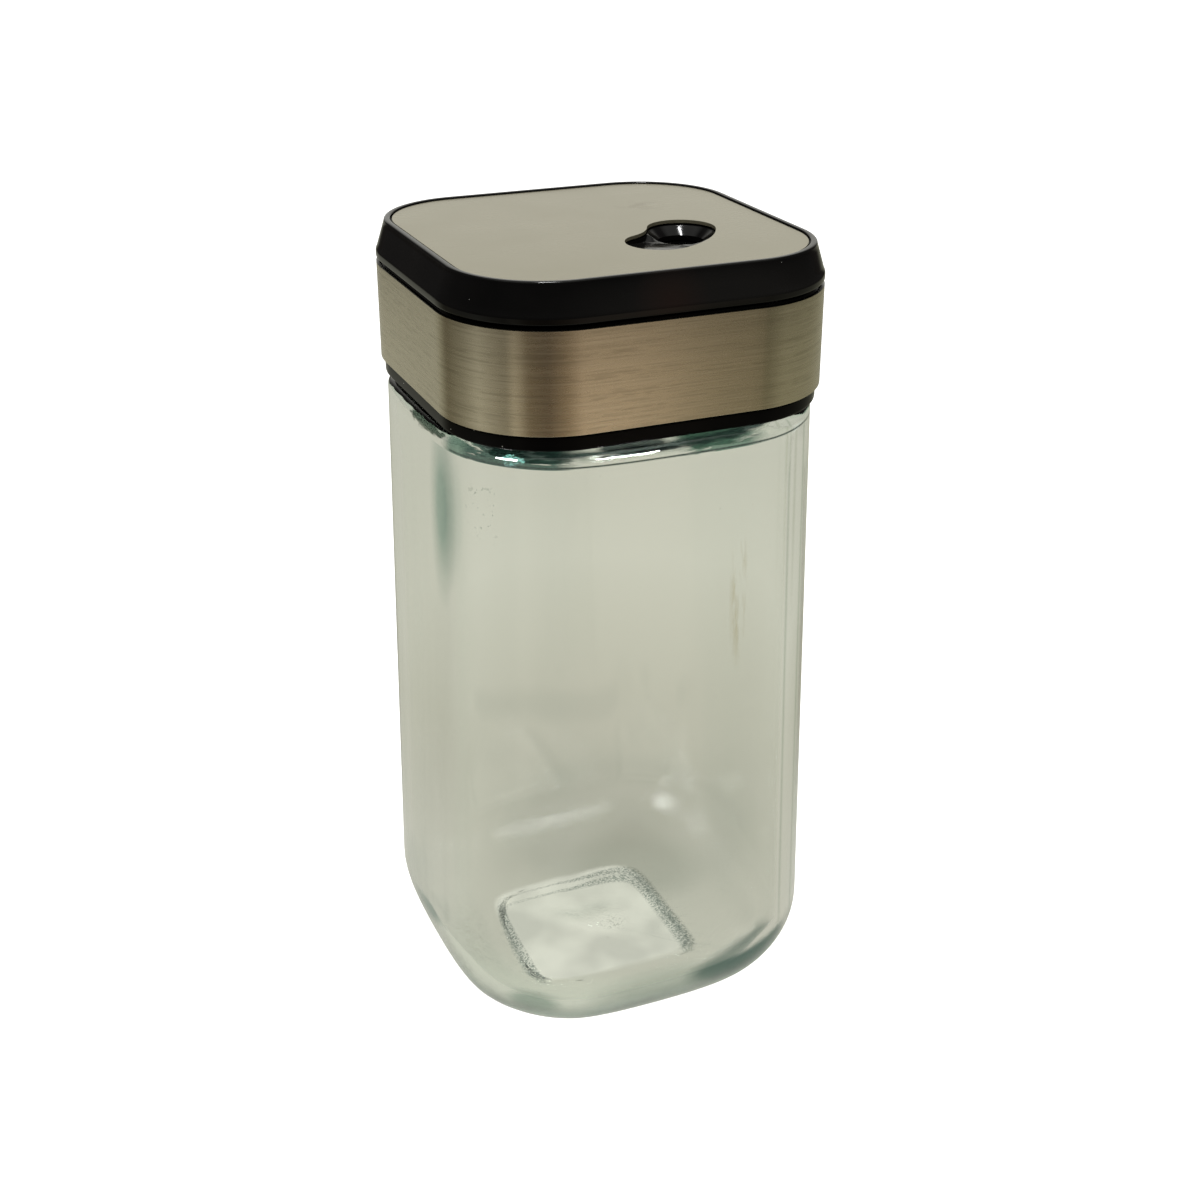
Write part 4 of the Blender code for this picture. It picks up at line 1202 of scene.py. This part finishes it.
def make_world():
    """Studio surroundings: white behind, dim low down in what is mirrored, bright above."""
    world = bpy.data.worlds.new("studio")
    bpy.context.scene.world = world
    world.use_nodes = True
    sky = Nodes(world.node_tree, "Generated")
    upward = sky.axis("Z")
    mirrored = sky.marked(DIM_SKY, (BRIGHT_WALL_TONE, BRIGHT_WALL, EVEN, 0.36, 0.62))
    mirrored = sky.blend(sky.rise(upward, 0.75, 0.88), mirrored, CEILING_TONE)
    through = sky.ramp(upward, SKY_THROUGH_GLASS)
    for corner in DARK_CORNERS:
        through = sky.marked(through, (DARK_CORNER_TONE, corner, EVEN, 0.12, 0.30))
    glow = sky.seen_by(WHITE, through, mirrored, sky.ramp(upward, SKY_LIGHT))
    sky.feed(world.node_tree.nodes["Background"].inputs["Color"], glow)


def add_light(name, place_at, size, power, only_on=None):
    """Soft rectangular light on everything, or a small lamp that shows as a glint on one piece."""
    data = bpy.data.lights.new(name, "AREA")
    data.shape = "RECTANGLE"
    data.size, data.size_y = size
    data.energy = power
    light = in_scene(name, data)
    light.location = place_at
    aim = Vector((0.0, 0.0, 0.07)) - Vector(place_at)
    light.rotation_euler = aim.to_track_quat("-Z", "Y").to_euler()
    if only_on is None:
        light.visible_glossy = False
        light.visible_transmission = False
    else:
        lit = bpy.data.collections.new(name + "_lights")
        lit.objects.link(only_on)
        light.light_linking.receiver_collection = lit


def make_lights(jar, dial):
    """Two wide soft lights, and three small lamps that leave glints."""
    add_light("key", (-0.6, -0.3, 1.1), (0.9, 0.9), 9.0)
    add_light("fill", (0.9, -0.5, 0.7), (0.7, 0.7), 4.0)
    add_light("ceiling_lamp", (0.027, 0.027, 1.12), (0.05, 0.35), 8.0, dial)
    add_light("window_lamp", (0.245, -0.89, 0.48), (0.24, 0.09), 50.0, jar)
    add_light("side_lamp", (-0.91, -0.385, 0.355), (0.30, 0.26), 60.0, jar)


def make_camera():
    """Camera at the photograph's angle."""
    data = bpy.data.cameras.new("camera")
    data.lens = CAMERA_LENS
    data.sensor_width = 36.0
    data.clip_start = 0.01
    camera = in_scene("camera", data)
    camera.location = CAMERA_PLACE
    camera.rotation_euler = CAMERA_FORWARD.to_track_quat("-Z", "Y").to_euler()
    bpy.context.scene.camera = camera


def allow_deep_glass():
    """Let light turn often enough to come out of thick glass."""
    paths = bpy.context.scene.cycles
    paths.max_bounces = 28
    paths.glossy_bounces = 16
    paths.transmission_bounces = 28


def main():
    """Build the scene."""
    bpy.context.scene.view_settings.view_transform = "Standard"
    allow_deep_glass()
    make_camera()
    make_world()
    make_floor()
    black = black_material("polished_black_plastic", 1.24)
    jar = build_jar(glass_material())
    build_gasket(gasket_material())
    build_cap(black_material("satin_black_plastic", 1.12))
    build_band(band_material())
    build_deck(black)
    dial = build_dial(black)
    build_plate(plate_material())
    make_lights(jar, dial)
    dress_hidden_steel(plain_steel_material())


main()
